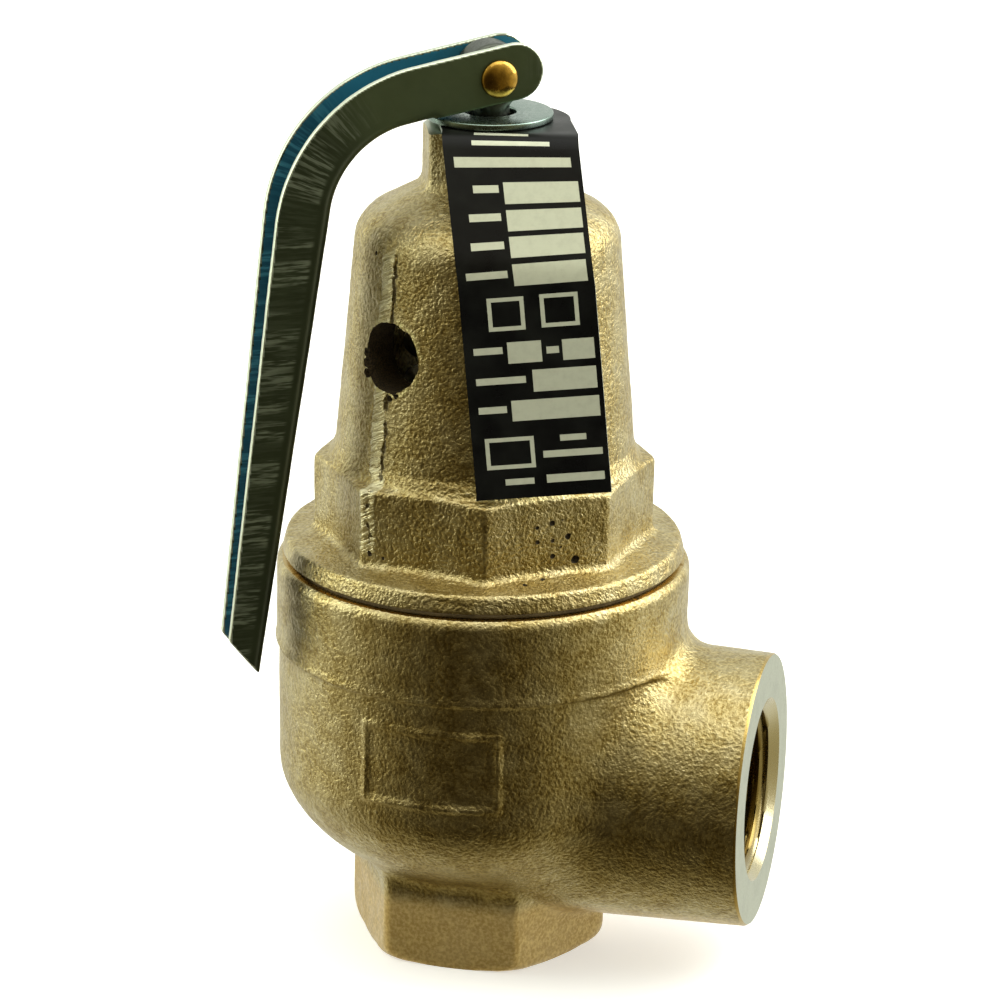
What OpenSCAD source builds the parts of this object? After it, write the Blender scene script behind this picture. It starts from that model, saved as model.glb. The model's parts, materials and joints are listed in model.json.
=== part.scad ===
// Pressure relief valve with a lifting lever and two female 3/4 inch taper pipe threads.
// Origin: centre of the inlet face. +Z runs up the valve axis and +X out of the outlet.

/* [Body] */
// Radius of the round body under the step
body_r = 30.75; // [30.5:0.05:31]
// Radius of the thicker band above the step
band_r = 31.15; // [31.05:0.05:31.5]
// Height of the step where the band starts
step_z = 47.9; // [47:0.1:49]
// Height of the body's top rim
rim_z = 61.2; // [61:0.1:61.4]
// Lowest height of the bowl
bowl_z = 9.6; // [9:0.1:10]
// Height where the bowl meets the straight wall
bowl_top_z = 29.3; // [29:0.1:30]
// Fullness of the bowl's outline, where 2 is an ellipse
bowl_power = 1.84; // [1.8:0.02:2]
// Radius of the cavity above the bowl floor
cavity_r = 25.2; // [24.8:0.1:25.4]

/* [Ports] */
// Distance across the flats of the inlet hexagon
inlet_af = 35; // [34.5:0.1:36]
// Height of the outlet axis above the inlet face
outlet_z = 27.6; // [27.4:0.1:28]
// Distance from the valve axis to the outlet face
outlet_x = 44; // [43:0.5:46]
// Radius of the outlet boss at its face
boss_r = 20.7; // [20.4:0.1:21]
// Radius of the port bores, at the crests of the thread
port_r = 11.75; // [11.6:0.05:11.9]
// Radius of the wide lead-in chamfer at the outlet's mouth
outlet_mouth_r = 13.95; // [13.6:0.05:14.2]
// Radius of the small chamfer at the inlet's mouth
inlet_mouth_r = 12.15; // [12:0.05:12.15]
// Radius of the nozzle's bore
nozzle_r = 9.5; // [9:0.1:9.8]

/* [Bonnet] */
// Radius of the bonnet's round flange
flange_r = 30.2; // [29.9:0.1:30.5]
// Radius over the corners of the eight-sided wrench band
wrench_r = 25.6; // [25.2:0.1:26]
// Turn of the wrench band about the valve axis
wrench_turn = -75.3; // [-77:0.1:-73]
// Height of the top of the wrench band
wrench_top_z = 78.6; // [78.4:0.1:78.8]
// Radius of the tower at its foot
tower_foot_r = 22.35; // [22.2:0.05:22.5]
// Radius of the tower under its shoulder
tower_top_r = 19.6; // [19.4:0.05:19.8]
// Radius over the corners of the eight-sided neck
neck_r = 10.17; // [10:0.01:10.3]
// Height of the top of the neck
neck_z = 127.7; // [127.5:0.1:127.7]
// Radius of the vent holes
vent_r = 5.25; // [4.5:0.25:6]
// Height of the vent holes
vent_z = 96.1; // [94:0.1:98]
// Direction of the first vent hole
vent_turn = -118; // [-125:1:-110]

/* [Lever] */
// Direction in which the lever points
lever_turn = -147.2; // [-150:0.2:-144]
// Height of the lever's pin
pin_z = 134.85; // [134.8:0.05:135]
// Width of the lever at its pin
lever_w = 8.2; // [8.1:0.1:8.6]
// Width of the lever at its tip
lever_tip_w = 5.3; // [5:0.1:6]
// Thickness of the lever's sheet
lever_t = 1.15; // [1.1:0.05:1.2]
// Radius of the pin's shank
pin_r = 1.6; // [1.5:0.05:1.6]
// Radius of the pin's domed heads
pin_head_r = 2.8; // [2.4:0.1:3]

/* [Tag and washer] */
// Radius of the washer under the lever
washer_r = 9.3; // [9:0.1:9.4]
// Width of the name tag
tag_w = 19.6; // [19:0.1:20]
// Thickness of the name tag
tag_t = 0.5; // [0.4:0.1:0.5]
// Direction that the name tag faces
tag_turn = -79.6; // [-85:0.2:-75]
// Height of the middle of the tag's lower edge
tag_end_z = 78.4; // [78.4:0.1:81]

/* [Trim] */
// Height of the nozzle's seat
seat_z = 33.3; // [33.2:0.1:33.5]
// Radius of the sliding disc holder
piston_r = 10; // [9.9:0.05:10]
// Radius of the stem
stem_r = 2.9; // [2.8:0.1:2.9]
// Radius of the adjusting screw, at the crests of its thread
screw_r = 5.94; // [5.9:0.01:5.94]
// Radius of the spring's wire
wire_r = 1.7; // [1.5:0.1:1.8]
// Mean radius of the spring's coils
coil_r = 10.6; // [10.5:0.1:10.8]
// Number of coils, with the two closed end coils
coils = 7; // [6:0.5:7.5]

/* [Hidden] */

$fn = 96;
// Small overlap that keeps cuts clean
cut = 1;
// Play between pieces that slide or turn on each other
play = 0.06;

// Inlet and outlet ports
inlet_depth = 15;
outlet_depth = 18;
hex_r = inlet_af / 2 / cos(30);
hex_foot_r = 17.7;
hex_round_h = 3.6;

// Stack of the trim along the valve axis
ledge_z = 50.3;
guide_t = 3;
guide_foot_z = 43.8;
guide_top_z = 57.7;
thread_r = 27.4;
seat_disc_t = 2.6;
seat_disc_r = 12;
retainer_t = 1.2;
screw_shank_r = 2;
screw_hole_h = 4.5;
holder_flange_z = 38.3;
holder_top_z = 58.3;
pocket_z = 41.3;
pocket_r = 6.2;
ring_wire_r = 1;
ring_lower_z = 45.9;
ring_upper_z = 51.5;
spring_seat_t = 2.6;
spring_dish_r = 13;
spring_foot_z = holder_top_z + spring_seat_t;
spring_top_z = 102.3;
button_t = 3;
button_top_z = 106.9;
chamber_r = 15.5;
chamber_z = 107.7;
nut_z = 123.3;
nut_r = 7.7;
clip_z = 55;
washer_z = 128.3;
washer_t = 1;
flange_z = rim_z + 0.8;
tag_z = washer_z - 0.3;

// Points on an arc, from angle a0 to angle a1
function arc(x, y, r, a0, a1, steps) =
    [for (i = [0:steps]) let (a = a0 + (a1 - a0) * i / steps) [x + r * cos(a), y + r * sin(a)]];

// Outline of the bowl below the straight wall, from the axis out
function bowl(r, depth, top, power) =
    [for (i = [0:18]) let (a = 5 * i)
        [r * pow(sin(a), 2 / power), top - depth * pow(cos(a), 2 / power)]];

module ring(r_out, r_in, z0, z1) {
    difference() {
        translate([0, 0, z0]) cylinder(r = r_out, h = z1 - z0);
        translate([0, 0, z0 - cut]) cylinder(r = r_in, h = z1 - z0 + 2 * cut);
    }
}

// Smooth bore with a chamfered mouth, running up from the origin
module port(mouth_r, depth) {
    translate([0, 0, -cut]) cylinder(r = port_r, h = depth + cut);
    translate([0, 0, -0.01]) cylinder(r1 = mouth_r, r2 = port_r, h = mouth_r - port_r);
}

module body_shell() {
    rim_round = 1.6;
    rotate_extrude() polygon(concat(
        bowl(body_r, bowl_top_z - bowl_z, bowl_top_z, bowl_power),
        [[body_r, step_z], [band_r, step_z + 0.6]],
        arc(band_r - rim_round, rim_z - rim_round, rim_round, 0, 75, 5),
        [[0, rim_z]]));
}

module inlet_hex() {
    hex_top = 17.3;
    intersection() {
        cylinder(r = hex_r, h = hex_top, $fn = 6);
        rotate_extrude() polygon(concat(
            [[0, 0]],
            [for (i = [0:6]) let (a = 15 * i)
                [hex_foot_r + (hex_r + 0.2 - hex_foot_r) * sin(a), hex_round_h * (1 - cos(a))]],
            [[hex_r + 0.2, hex_top], [0, hex_top]]));
    }
}

module outlet_boss() {
    root_r = boss_r + 1.2;
    edge = 0.5;
    translate([0, 0, outlet_z]) rotate([0, 90, 0]) {
        cylinder(r1 = root_r, r2 = boss_r, h = outlet_x - edge);
        translate([0, 0, outlet_x - edge]) cylinder(r1 = boss_r, r2 = boss_r - edge, h = edge);
    }
}

// Plain raised border on the front of the body
module front_border() {
    border_w = 21;
    border_h = 12.5;
    border_z = 37.6;
    line = 1.1;
    proud = 0.35;
    intersection() {
        ring(body_r + proud, body_r - 1, border_z - border_h, border_z + border_h);
        translate([-border_w / 2, -2 * body_r, border_z - border_h / 2]) difference() {
            cube([border_w, 2 * body_r, border_h]);
            translate([line, -cut, line])
                cube([border_w - 2 * line, 2 * body_r + 2 * cut, border_h - 2 * line]);
        }
    }
}

module body_cavity() {
    floor_depth = 16;
    floor_top = 30.3;
    rotate_extrude() polygon(concat(
        bowl(cavity_r, floor_depth, floor_top, 2),
        [[cavity_r, ledge_z], [thread_r + play, ledge_z],
         [thread_r + play, rim_z + cut], [0, rim_z + cut]]));
}

module nozzle() {
    wall_r = 12.8;
    lip_r = 10.8;
    lip_h = 2;
    foot_z = bowl_z + 1;
    translate([0, 0, foot_z]) cylinder(r = wall_r, h = seat_z - lip_h - foot_z);
    translate([0, 0, seat_z - lip_h]) cylinder(r1 = wall_r, r2 = lip_r, h = lip_h);
}

module valve_body() {
    passage_r = 10.6;
    passage_l = 8;
    color([0.66, 0.55, 0.30]) difference() {
        union() {
            difference() {
                union() {
                    body_shell();
                    inlet_hex();
                    outlet_boss();
                    front_border();
                }
                body_cavity();
            }
            nozzle();
        }
        port(inlet_mouth_r, inlet_depth);
        translate([0, 0, inlet_depth - cut]) cylinder(r = nozzle_r, h = seat_z);
        translate([outlet_x, 0, outlet_z]) rotate([0, -90, 0]) port(outlet_mouth_r, outlet_depth);
        translate([outlet_x - outlet_depth + cut, 0, outlet_z]) rotate([0, -90, 0])
            cylinder(r = passage_r, h = passage_l);
    }
}

module tower() {
    shoulder_r = 6;
    shoulder_z = 109.9;
    crown_z = 119.1;
    draft = atan((tower_foot_r - tower_top_r) / (shoulder_z - wrench_top_z));
    crown_slope = 68;
    rotate_extrude() polygon(concat(
        [[0, wrench_top_z - 4], [tower_foot_r, wrench_top_z - 4], [tower_foot_r, wrench_top_z]],
        arc(tower_top_r - shoulder_r * cos(draft), shoulder_z, shoulder_r, draft, crown_slope, 6),
        [[neck_r - 1, crown_z], [0, crown_z]]));
}

module wrench_band() {
    foot_z = 64.3;
    chamfer_z = 76.6;
    shelf_r = 23.4;
    shelf_z = 77.1;
    intersection() {
        rotate([0, 0, wrench_turn]) translate([0, 0, foot_z])
            cylinder(r = wrench_r, h = wrench_top_z - foot_z, $fn = 8);
        rotate_extrude() polygon([
            [0, foot_z - cut], [wrench_r + cut, foot_z - cut], [wrench_r + cut, chamfer_z - 1],
            [wrench_r - 0.4, chamfer_z], [shelf_r, shelf_z], [tower_foot_r, wrench_top_z],
            [0, wrench_top_z]]);
    }
}

module bonnet_flange() {
    rotate_extrude() polygon([
        [0, ledge_z + guide_t], [thread_r, ledge_z + guide_t], [thread_r, flange_z],
        [flange_r - 0.4, flange_z], [flange_r, flange_z + 0.5], [flange_r - 0.5, flange_z + 2.3],
        [flange_r - 0.8, flange_z + 2.7], [wrench_r + 0.6, flange_z + 3],
        [wrench_r - 1.6, flange_z + 3.4], [0, flange_z + 3.4]]);
}

module neck() {
    chamfer = 1;
    foot_z = 115.3;
    intersection() {
        translate([0, 0, foot_z]) cylinder(r = neck_r, h = neck_z - foot_z, $fn = 8);
        rotate_extrude() polygon([
            [0, foot_z], [neck_r + cut, foot_z], [neck_r + cut, neck_z - chamfer - cut],
            [neck_r - chamfer, neck_z], [0, neck_z]]);
    }
}

module bonnet() {
    roof_z = 110.8;
    color([0.70, 0.60, 0.36]) difference() {
        union() {
            bonnet_flange();
            wrench_band();
            tower();
            neck();
        }
        rotate_extrude() polygon([
            [0, ledge_z], [chamber_r, ledge_z], [chamber_r, chamber_z],
            [screw_r + play, roof_z], [screw_r + play, nut_z],
            [nut_r + 0.2, nut_z], [nut_r + 0.2, neck_z + cut], [0, neck_z + cut]]);
        for (side = [0, 180]) rotate([0, 0, vent_turn + side]) translate([0, 0, vent_z])
            rotate([0, 90, 0]) cylinder(r = vent_r, h = band_r);
    }
}

module bonnet_gasket() {
    color([0.20, 0.19, 0.17]) ring(29.4, thread_r + 0.2, rim_z, flange_z);
}

module guide_bush() {
    hub_r = 14.4;
    color([0.72, 0.58, 0.30]) difference() {
        union() {
            translate([0, 0, guide_foot_z]) cylinder(r = hub_r, h = guide_top_z - guide_foot_z);
            translate([0, 0, ledge_z]) cylinder(r = thread_r - 0.2, h = guide_t);
        }
        translate([0, 0, guide_foot_z - cut])
            cylinder(r = piston_r + play, h = guide_top_z - guide_foot_z + 2 * cut);
    }
}

module disc_holder() {
    skirt_r = 13.5;
    skirt_drop = 2;
    thread_z = seat_z + seat_disc_t;
    groove_r = piston_r - 2 * ring_wire_r - 0.1;
    groove_h = 2 * ring_wire_r + 0.4;
    color([0.74, 0.60, 0.32]) difference() {
        union() {
            translate([0, 0, thread_z - skirt_drop])
                cylinder(r = skirt_r, h = holder_flange_z - thread_z + skirt_drop);
            translate([0, 0, thread_z]) cylinder(r = piston_r, h = holder_top_z - thread_z);
        }
        translate([0, 0, seat_z]) cylinder(r = seat_disc_r + play, h = seat_disc_t);
        translate([0, 0, thread_z - cut]) cylinder(r = screw_shank_r, h = screw_hole_h);
        translate([0, 0, pocket_z]) cylinder(r = pocket_r, h = holder_top_z);
        for (z = [ring_lower_z, ring_upper_z])
            ring(piston_r + cut, groove_r, z - groove_h / 2, z + groove_h / 2);
    }
}

module seat_disc() {
    color([0.88, 0.87, 0.82])
        ring(seat_disc_r, screw_shank_r + play, seat_z + 0.02, seat_z + seat_disc_t);
}

module disc_retainer() {
    retainer_r = 7.5;
    color([0.76, 0.77, 0.78])
        ring(retainer_r, screw_shank_r + play, seat_z - retainer_t, seat_z);
}

module disc_screw() {
    head_r = 3.5;
    head_h = 2.4;
    head_z = seat_z - retainer_t - head_h;
    thread_grip = 2.8;
    shank_l = retainer_t + seat_disc_t + thread_grip;
    socket_af = 3;
    socket_h = 1.4;
    color([0.78, 0.79, 0.80]) difference() {
        union() {
            translate([0, 0, head_z]) cylinder(r = head_r, h = head_h);
            translate([0, 0, head_z + head_h]) cylinder(r = screw_shank_r, h = shank_l);
        }
        translate([0, 0, head_z - cut])
            cylinder(r = socket_af / 2 / cos(30), h = socket_h + cut, $fn = 6);
    }
}

module o_ring(z) {
    color([0.08, 0.08, 0.08]) translate([0, 0, z]) rotate_extrude()
        translate([piston_r - ring_wire_r, 0]) circle(r = ring_wire_r, $fn = 24);
}

module o_ring_lower() {
    o_ring(ring_lower_z);
}

module o_ring_upper() {
    o_ring(ring_upper_z);
}

module spring_seat() {
    pilot_r = coil_r - wire_r - 0.3;
    pilot_h = 3.2;
    spigot_h = 2;
    color([0.70, 0.58, 0.33]) difference() {
        union() {
            translate([0, 0, holder_top_z - spigot_h]) cylinder(r = pocket_r - 0.02, h = spigot_h);
            translate([0, 0, holder_top_z]) cylinder(r = spring_dish_r, h = spring_seat_t);
            translate([0, 0, spring_foot_z]) cylinder(r1 = pilot_r, r2 = pilot_r - 1, h = pilot_h);
        }
        translate([0, 0, holder_top_z - spigot_h - cut]) cylinder(r = stem_r + 0.3, h = 12);
    }
}

// Height of the wire's centre after a number of turns, with one closed coil at each end
function wire_z(turns) =
    let (closed = 2 * wire_r + 0.05)
    let (free = spring_top_z - spring_foot_z - 2 * wire_r - 2 * closed - 0.1)
    let (pitch = free / (coils - 2))
    spring_foot_z + wire_r + 0.05 + closed * min(turns, 1)
        + pitch * max(0, min(turns, coils - 1) - 1) + closed * max(0, turns - coils + 1);

module spring() {
    sides = 10;
    per_turn = 24;
    rings = coils * per_turn;
    points = [for (i = [0:rings], k = [0:sides - 1])
        let (a = 360 * i / per_turn, b = 360 * k / sides, r = coil_r + wire_r * cos(b))
        [r * cos(a), r * sin(a), wire_z(i / per_turn) + wire_r * sin(b)]];
    walls = [for (i = [0:rings - 1], k = [0:sides - 1], half = [0, 1])
        let (n = (k + 1) % sides, p = i * sides, q = p + sides)
        half == 0 ? [p + k, p + n, q + k] : [p + n, q + n, q + k]];
    first = [for (k = [0:sides - 1]) sides - 1 - k];
    last = [for (k = [0:sides - 1]) rings * sides + k];
    color([0.55, 0.57, 0.60]) polyhedron(points, concat([first], walls, [last]));
}

module spring_button() {
    pilot_r = coil_r - wire_r - 0.3;
    pilot_h = 3;
    hub_r = 8;
    socket_h = 1.5;
    socket_foot_r = 4;
    socket_rim_r = 6.5;
    color([0.70, 0.58, 0.33]) difference() {
        union() {
            translate([0, 0, spring_top_z - pilot_h])
                cylinder(r1 = pilot_r - 1, r2 = pilot_r, h = pilot_h);
            translate([0, 0, spring_top_z]) cylinder(r = spring_dish_r, h = button_t);
            translate([0, 0, spring_top_z + button_t])
                cylinder(r = hub_r, h = button_top_z - spring_top_z - button_t);
        }
        translate([0, 0, spring_top_z - pilot_h - cut]) cylinder(r = stem_r + 0.4, h = 12);
        translate([0, 0, button_top_z - socket_h])
            cylinder(r1 = socket_foot_r, r2 = socket_rim_r, h = socket_h + 0.01);
    }
}

module adjusting_screw() {
    foot_z = button_top_z - 1.3;
    top_z = 126.7;
    tip_h = 2;
    tip_r = 4.1;
    slot_w = 1.6;
    slot_h = 2;
    color([0.76, 0.62, 0.33]) difference() {
        union() {
            translate([0, 0, foot_z]) cylinder(r1 = tip_r, r2 = screw_r - 0.3, h = tip_h);
            translate([0, 0, foot_z + tip_h]) cylinder(r = screw_r, h = top_z - foot_z - tip_h);
        }
        translate([0, 0, foot_z - cut]) cylinder(r = stem_r + 0.4, h = 30);
        translate([-10, -slot_w / 2, top_z - slot_h]) cube([20, slot_w, slot_h + cut]);
    }
}

module lock_nut() {
    nut_h = 3.2;
    slot_w = 2;
    color([0.74, 0.60, 0.32]) difference() {
        ring(nut_r, screw_r + play, nut_z, nut_z + nut_h);
        for (a = [0:90:270]) rotate([0, 0, a]) translate([nut_r - 0.8, -slot_w / 2, nut_z + 1.2])
            cube([2, slot_w, nut_h]);
    }
}

module lever_washer() {
    color([0.62, 0.66, 0.60]) ring(washer_r, stem_r + 1, washer_z, washer_z + washer_t);
}

module stem() {
    eye_r = 4.8;
    eye_t = lever_w - 2 * lever_t - 0.6;
    foot_z = 52.3;
    color([0.74, 0.74, 0.70]) rotate([0, 0, lever_turn]) difference() {
        union() {
            translate([0, 0, foot_z]) cylinder(r = stem_r, h = pin_z - foot_z - 1);
            intersection() {
                translate([0, eye_t / 2, pin_z]) rotate([90, 0, 0]) cylinder(r = eye_r, h = eye_t);
                translate([0, 0, pin_z - 5.1]) cylinder(r = 5.2, h = 12);
            }
        }
        ring(stem_r + cut, stem_r - 0.6, clip_z - 0.05, clip_z + 1.25);
        translate([0, 5, pin_z]) rotate([90, 0, 0]) cylinder(r = pin_r + play, h = 10);
    }
}

module stem_clip() {
    mouth_w = 3.6;
    color([0.45, 0.46, 0.48]) difference() {
        ring(5.4, stem_r - 0.55, clip_z, clip_z + 1.2);
        rotate([0, 0, lever_turn]) translate([0, -mouth_w / 2, clip_z - cut])
            cube([8, mouth_w, 4]);
    }
}

// Side outline of the lever: x runs out from the pin, y runs up from it.
top_slope = 11.5;
outer_bend_r = 25;
outer_centre = [8.4, -22.3];
outer_lean = 6.3;
inner_bend_r = 14;
inner_centre = [11, -20];
inner_lean = 8.5;
nose_r = 4.2;
nose_centre = [-2.6, 0.85];
arm_foot = 89;
edge_foot = 83.4;
cheek_foot = [9.2, -5.36];
web_start = 10.3;

// Inner side of the web, moved out by a distance, from the pivot end to below the tip
function web_path(shift) =
    let (r = inner_bend_r + shift)
    let (bend = arc(inner_centre[0], inner_centre[1], r, 90 - top_slope, inner_lean, 10))
    let (start = bend[0], foot = bend[10], drop = arm_foot + foot[1])
    concat([[web_start - 0.5, start[1] + (start[0] - web_start + 0.5) * tan(top_slope)]],
        bend, [[foot[0] + drop * tan(inner_lean), -arm_foot]]);

// Free edge of the sheet, from under the nose round to the tip
function free_edge() =
    let (bend = arc(outer_centre[0], outer_centre[1], outer_bend_r, 90 - top_slope, outer_lean, 14))
    let (foot = bend[14], drop = edge_foot + foot[1])
    concat(arc(nose_centre[0], nose_centre[1], nose_r, 262, 90 - top_slope, 14), bend,
        [[foot[0] + drop * tan(outer_lean), -edge_foot]]);

module lever_side() {
    inner = web_path(0);
    polygon(concat(free_edge(), [for (i = [12:-1:0]) inner[i]], [cheek_foot]));
}

module lever_hollow() {
    inner = web_path(lever_t);
    polygon(concat([[-20, -20], [-20, 20], [70, 20], [70, -110], [inner[12][0], -110]],
        [for (i = [12:-1:0]) inner[i]],
        [[web_start - 0.5, -20]]));
}

// Slab whose width narrows from the elbow down to the tip
module tapered_slab(inset) {
    top_w = lever_w / 2 - inset;
    tip_w = lever_tip_w / 2 - inset;
    taper_top = -8;
    translate([-30, 0, 0]) rotate([90, 0, 90]) linear_extrude(100)
        polygon([[-top_w, 20], [-top_w, taper_top], [-tip_w, -arm_foot], [-tip_w, -120],
            [tip_w, -120], [tip_w, -arm_foot], [top_w, taper_top], [top_w, 20]]);
}

module lever_prism() {
    rotate([90, 0, 0]) linear_extrude(2 * lever_w, center = true) children();
}

module lever() {
    color([0.25, 0.28, 0.20]) rotate([0, 0, lever_turn]) translate([0, 0, pin_z]) difference() {
        intersection() {
            lever_prism() lever_side();
            tapered_slab(0);
            lever_tip_cut();
        }
        intersection() {
            lever_prism() lever_hollow();
            tapered_slab(lever_t);
        }
        rotate([90, 0, 0]) cylinder(r = pin_r, h = 2 * lever_w, center = true);
    }
}

// Keeps what lies above the slanting cut at the tip of the arm
module lever_tip_cut() {
    tip = [35.9, -89];
    cut_slope = 53.6;
    lever_prism() polygon([[-30, tip[1]], tip,
        [tip[0] + 60 * cos(cut_slope), tip[1] + 60 * sin(cut_slope)], [80, 40], [-30, 40]]);
}

module lever_pin() {
    head_h = 1.3;
    reach = lever_w / 2 + 0.02;
    color([0.72, 0.52, 0.14]) rotate([0, 0, lever_turn]) translate([0, 0, pin_z]) {
        rotate([90, 0, 0]) cylinder(r = pin_r, h = 2 * reach, center = true);
        for (side = [90, -90]) rotate([side, 0, 0]) translate([0, 0, reach]) rotate_extrude()
            polygon(concat([[0, 0]],
                [for (i = [0:6]) let (a = 15 * i) [pin_head_r * cos(a), head_h * sin(a)]]));
    }
}

// Bent profile of the tag: x runs out from the valve axis, y is height.
tag_bend_r = 3;
tag_bend_x = 9;
tag_slant = 31.5;
tag_hang = 4.5;
tag_end_x = 23.9;
shoulder_bend_r = 10;
tag_turned = [tag_bend_x + tag_bend_r * cos(tag_slant), tag_z - tag_bend_r * (1 - sin(tag_slant))];
tag_meet_z = (tag_turned[0] + tan(tag_slant) * tag_turned[1] - tag_end_x - tan(tag_hang) * tag_end_z)
    / (tan(tag_slant) - tan(tag_hang));
tag_meet_x = tag_end_x - tan(tag_hang) * (tag_meet_z - tag_end_z);
tag_back = shoulder_bend_r * tan((tag_slant - tag_hang) / 2);
tag_bend_centre = [
    tag_meet_x - tag_back * sin(tag_slant) - shoulder_bend_r * cos(tag_slant),
    tag_meet_z + tag_back * cos(tag_slant) - shoulder_bend_r * sin(tag_slant)];

// Bent outline of the sheet's middle, moved out by a distance
function tag_path(side) = concat(
    [[-12, tag_z + side]],
    arc(tag_bend_x, tag_z - tag_bend_r, tag_bend_r + side, 90, tag_slant, 6),
    arc(tag_bend_centre[0], tag_bend_centre[1], shoulder_bend_r + side, tag_slant, tag_hang, 4),
    [[tag_end_x + side + 8 * tan(tag_hang), tag_end_z - 8]]);

// Sheet with the tag's bends, wider than the tag
module tag_sheet() {
    over = tag_path(tag_t / 2);
    under = tag_path(-tag_t / 2);
    rotate([90, 0, 0]) linear_extrude(4 * tag_w, center = true)
        polygon(concat(over, [for (i = [len(under) - 1:-1:0]) under[i]]));
}

// Outline of the hanging part, seen from the front: x runs to the right, y is height.
module tag_front() {
    half = tag_w / 2;
    neck_shift = 3.6;
    knee_shift = 7;
    end_shift = 10.27;
    knee_z = 109.3;
    lean = atan((end_shift - knee_shift) / (knee_z - tag_end_z));
    polygon([
        [neck_shift - half, tag_z + 2], [neck_shift + half, tag_z + 2],
        [neck_shift + half, tag_z], [knee_shift + half, knee_z],
        [end_shift + half, tag_end_z + half * tan(lean)],
        [end_shift - half, tag_end_z - half * tan(lean)],
        [knee_shift - half, knee_z], [neck_shift - half, tag_z]]);
}

// Outline of the head, seen from above, with a round back.
module tag_head() {
    half = tag_w / 2;
    head_shift = 2;
    neck_shift = 3.6;
    reach = tag_bend_x;
    translate([0, head_shift]) circle(r = half);
    polygon([[0, head_shift - half], [reach, neck_shift - half], [40, neck_shift - half],
        [40, neck_shift + half], [reach, neck_shift + half], [0, head_shift + half]]);
}

module name_tag() {
    hole_r = 5;
    color([0.06, 0.06, 0.07]) rotate([0, 0, tag_turn]) difference() {
        intersection() {
            tag_sheet();
            union() {
                rotate([90, 0, 90]) linear_extrude(60) intersection() {
                    tag_front();
                    translate([-60, 0]) square([120, tag_z - tag_t / 2 - 0.5]);
                }
                translate([0, 0, tag_z - tag_t / 2 - 0.5]) linear_extrude(5) tag_head();
            }
        }
        translate([0, 2, tag_z - 5]) cylinder(r = hole_r, h = 10);
    }
}

valve_body();
bonnet();
bonnet_gasket();
guide_bush();
lock_nut();
spring();
spring_button();
adjusting_screw();
lever_washer();
name_tag();
stem();
stem_clip();
lever();
lever_pin();
disc_holder();
seat_disc();
disc_retainer();
disc_screw();
o_ring_lower();
o_ring_upper();
spring_seat();
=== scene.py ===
import json
import math

import bpy
import numpy as np
from mathutils import Matrix, Vector


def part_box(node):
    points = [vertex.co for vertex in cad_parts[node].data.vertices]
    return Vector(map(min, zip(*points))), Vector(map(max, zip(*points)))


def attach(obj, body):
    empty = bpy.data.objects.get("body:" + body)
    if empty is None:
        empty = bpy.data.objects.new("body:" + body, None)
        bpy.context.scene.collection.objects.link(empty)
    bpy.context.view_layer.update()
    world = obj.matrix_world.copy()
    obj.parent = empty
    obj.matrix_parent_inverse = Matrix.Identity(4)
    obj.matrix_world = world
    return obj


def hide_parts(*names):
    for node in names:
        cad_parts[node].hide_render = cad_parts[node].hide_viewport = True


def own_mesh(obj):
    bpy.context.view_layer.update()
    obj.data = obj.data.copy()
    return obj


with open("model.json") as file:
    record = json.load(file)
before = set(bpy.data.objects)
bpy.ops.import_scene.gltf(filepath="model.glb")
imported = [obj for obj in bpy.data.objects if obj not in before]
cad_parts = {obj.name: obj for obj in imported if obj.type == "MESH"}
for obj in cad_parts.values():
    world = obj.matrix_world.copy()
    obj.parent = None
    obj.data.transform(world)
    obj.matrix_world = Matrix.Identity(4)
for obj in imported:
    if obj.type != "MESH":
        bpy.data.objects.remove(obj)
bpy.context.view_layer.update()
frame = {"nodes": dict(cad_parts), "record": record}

# Shapes are worked out in millimetres and placed in metres.
MM = 0.001


# ---- sizes from the frame

def corner(node, high, axis):
    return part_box(node)[high][axis] / MM


def mount(name):
    found = [m for m in frame["record"]["mounts"] if m["name"] == name][0]
    return [v / MM for v in found["pos_m"]]


RIM_Z = corner("valve_body", 1, 2)
BAND_R = corner("valve_body", 1, 1)
OUTLET_X = mount("outlet_face")[0]
OUTLET_Z = mount("outlet_face")[2]
FLANGE_Z = corner("bonnet_gasket", 1, 2)
NECK_TOP = corner("bonnet", 1, 2)
BONNET_FOOT = corner("bonnet", 0, 2)
PIN_Z = (corner("lever_pin", 0, 2) + corner("lever_pin", 1, 2)) / 2
WASHER_Z = corner("lever_washer", 0, 2)
WASHER_TOP = corner("lever_washer", 1, 2)
WASHER_R = corner("lever_washer", 1, 0)
SEAT_Z = corner("seat_disc", 0, 2)
SPRING_FOOT = corner("spring", 0, 2)
SPRING_TOP = corner("spring", 1, 2)
CLIP_Z = corner("stem_clip", 0, 2)
STEM_FOOT = corner("stem", 0, 2)

BODY_R = BAND_R - 0.4
STEP_Z = RIM_Z - 13.3
BORE_R = 11.75
OUTLET_MOUTH_R = 13.95
INLET_MOUTH_R = 12.15
NOZZLE_R = 9.5
PITCH = 1.814
THREAD_DEPTH = 1.15
WRENCH_FACE = -75.3 + 22.5
VENT_TURN = math.radians(-118)
VENT_R = 5.25
VENT_Z = RIM_Z + 34.9
LEVER_TURN = math.radians(-147.2)
TAG_TURN = math.radians(-79.6)
STEM_R = 2.9
FACE_R = 20.7


# ---- noise and distances

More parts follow.
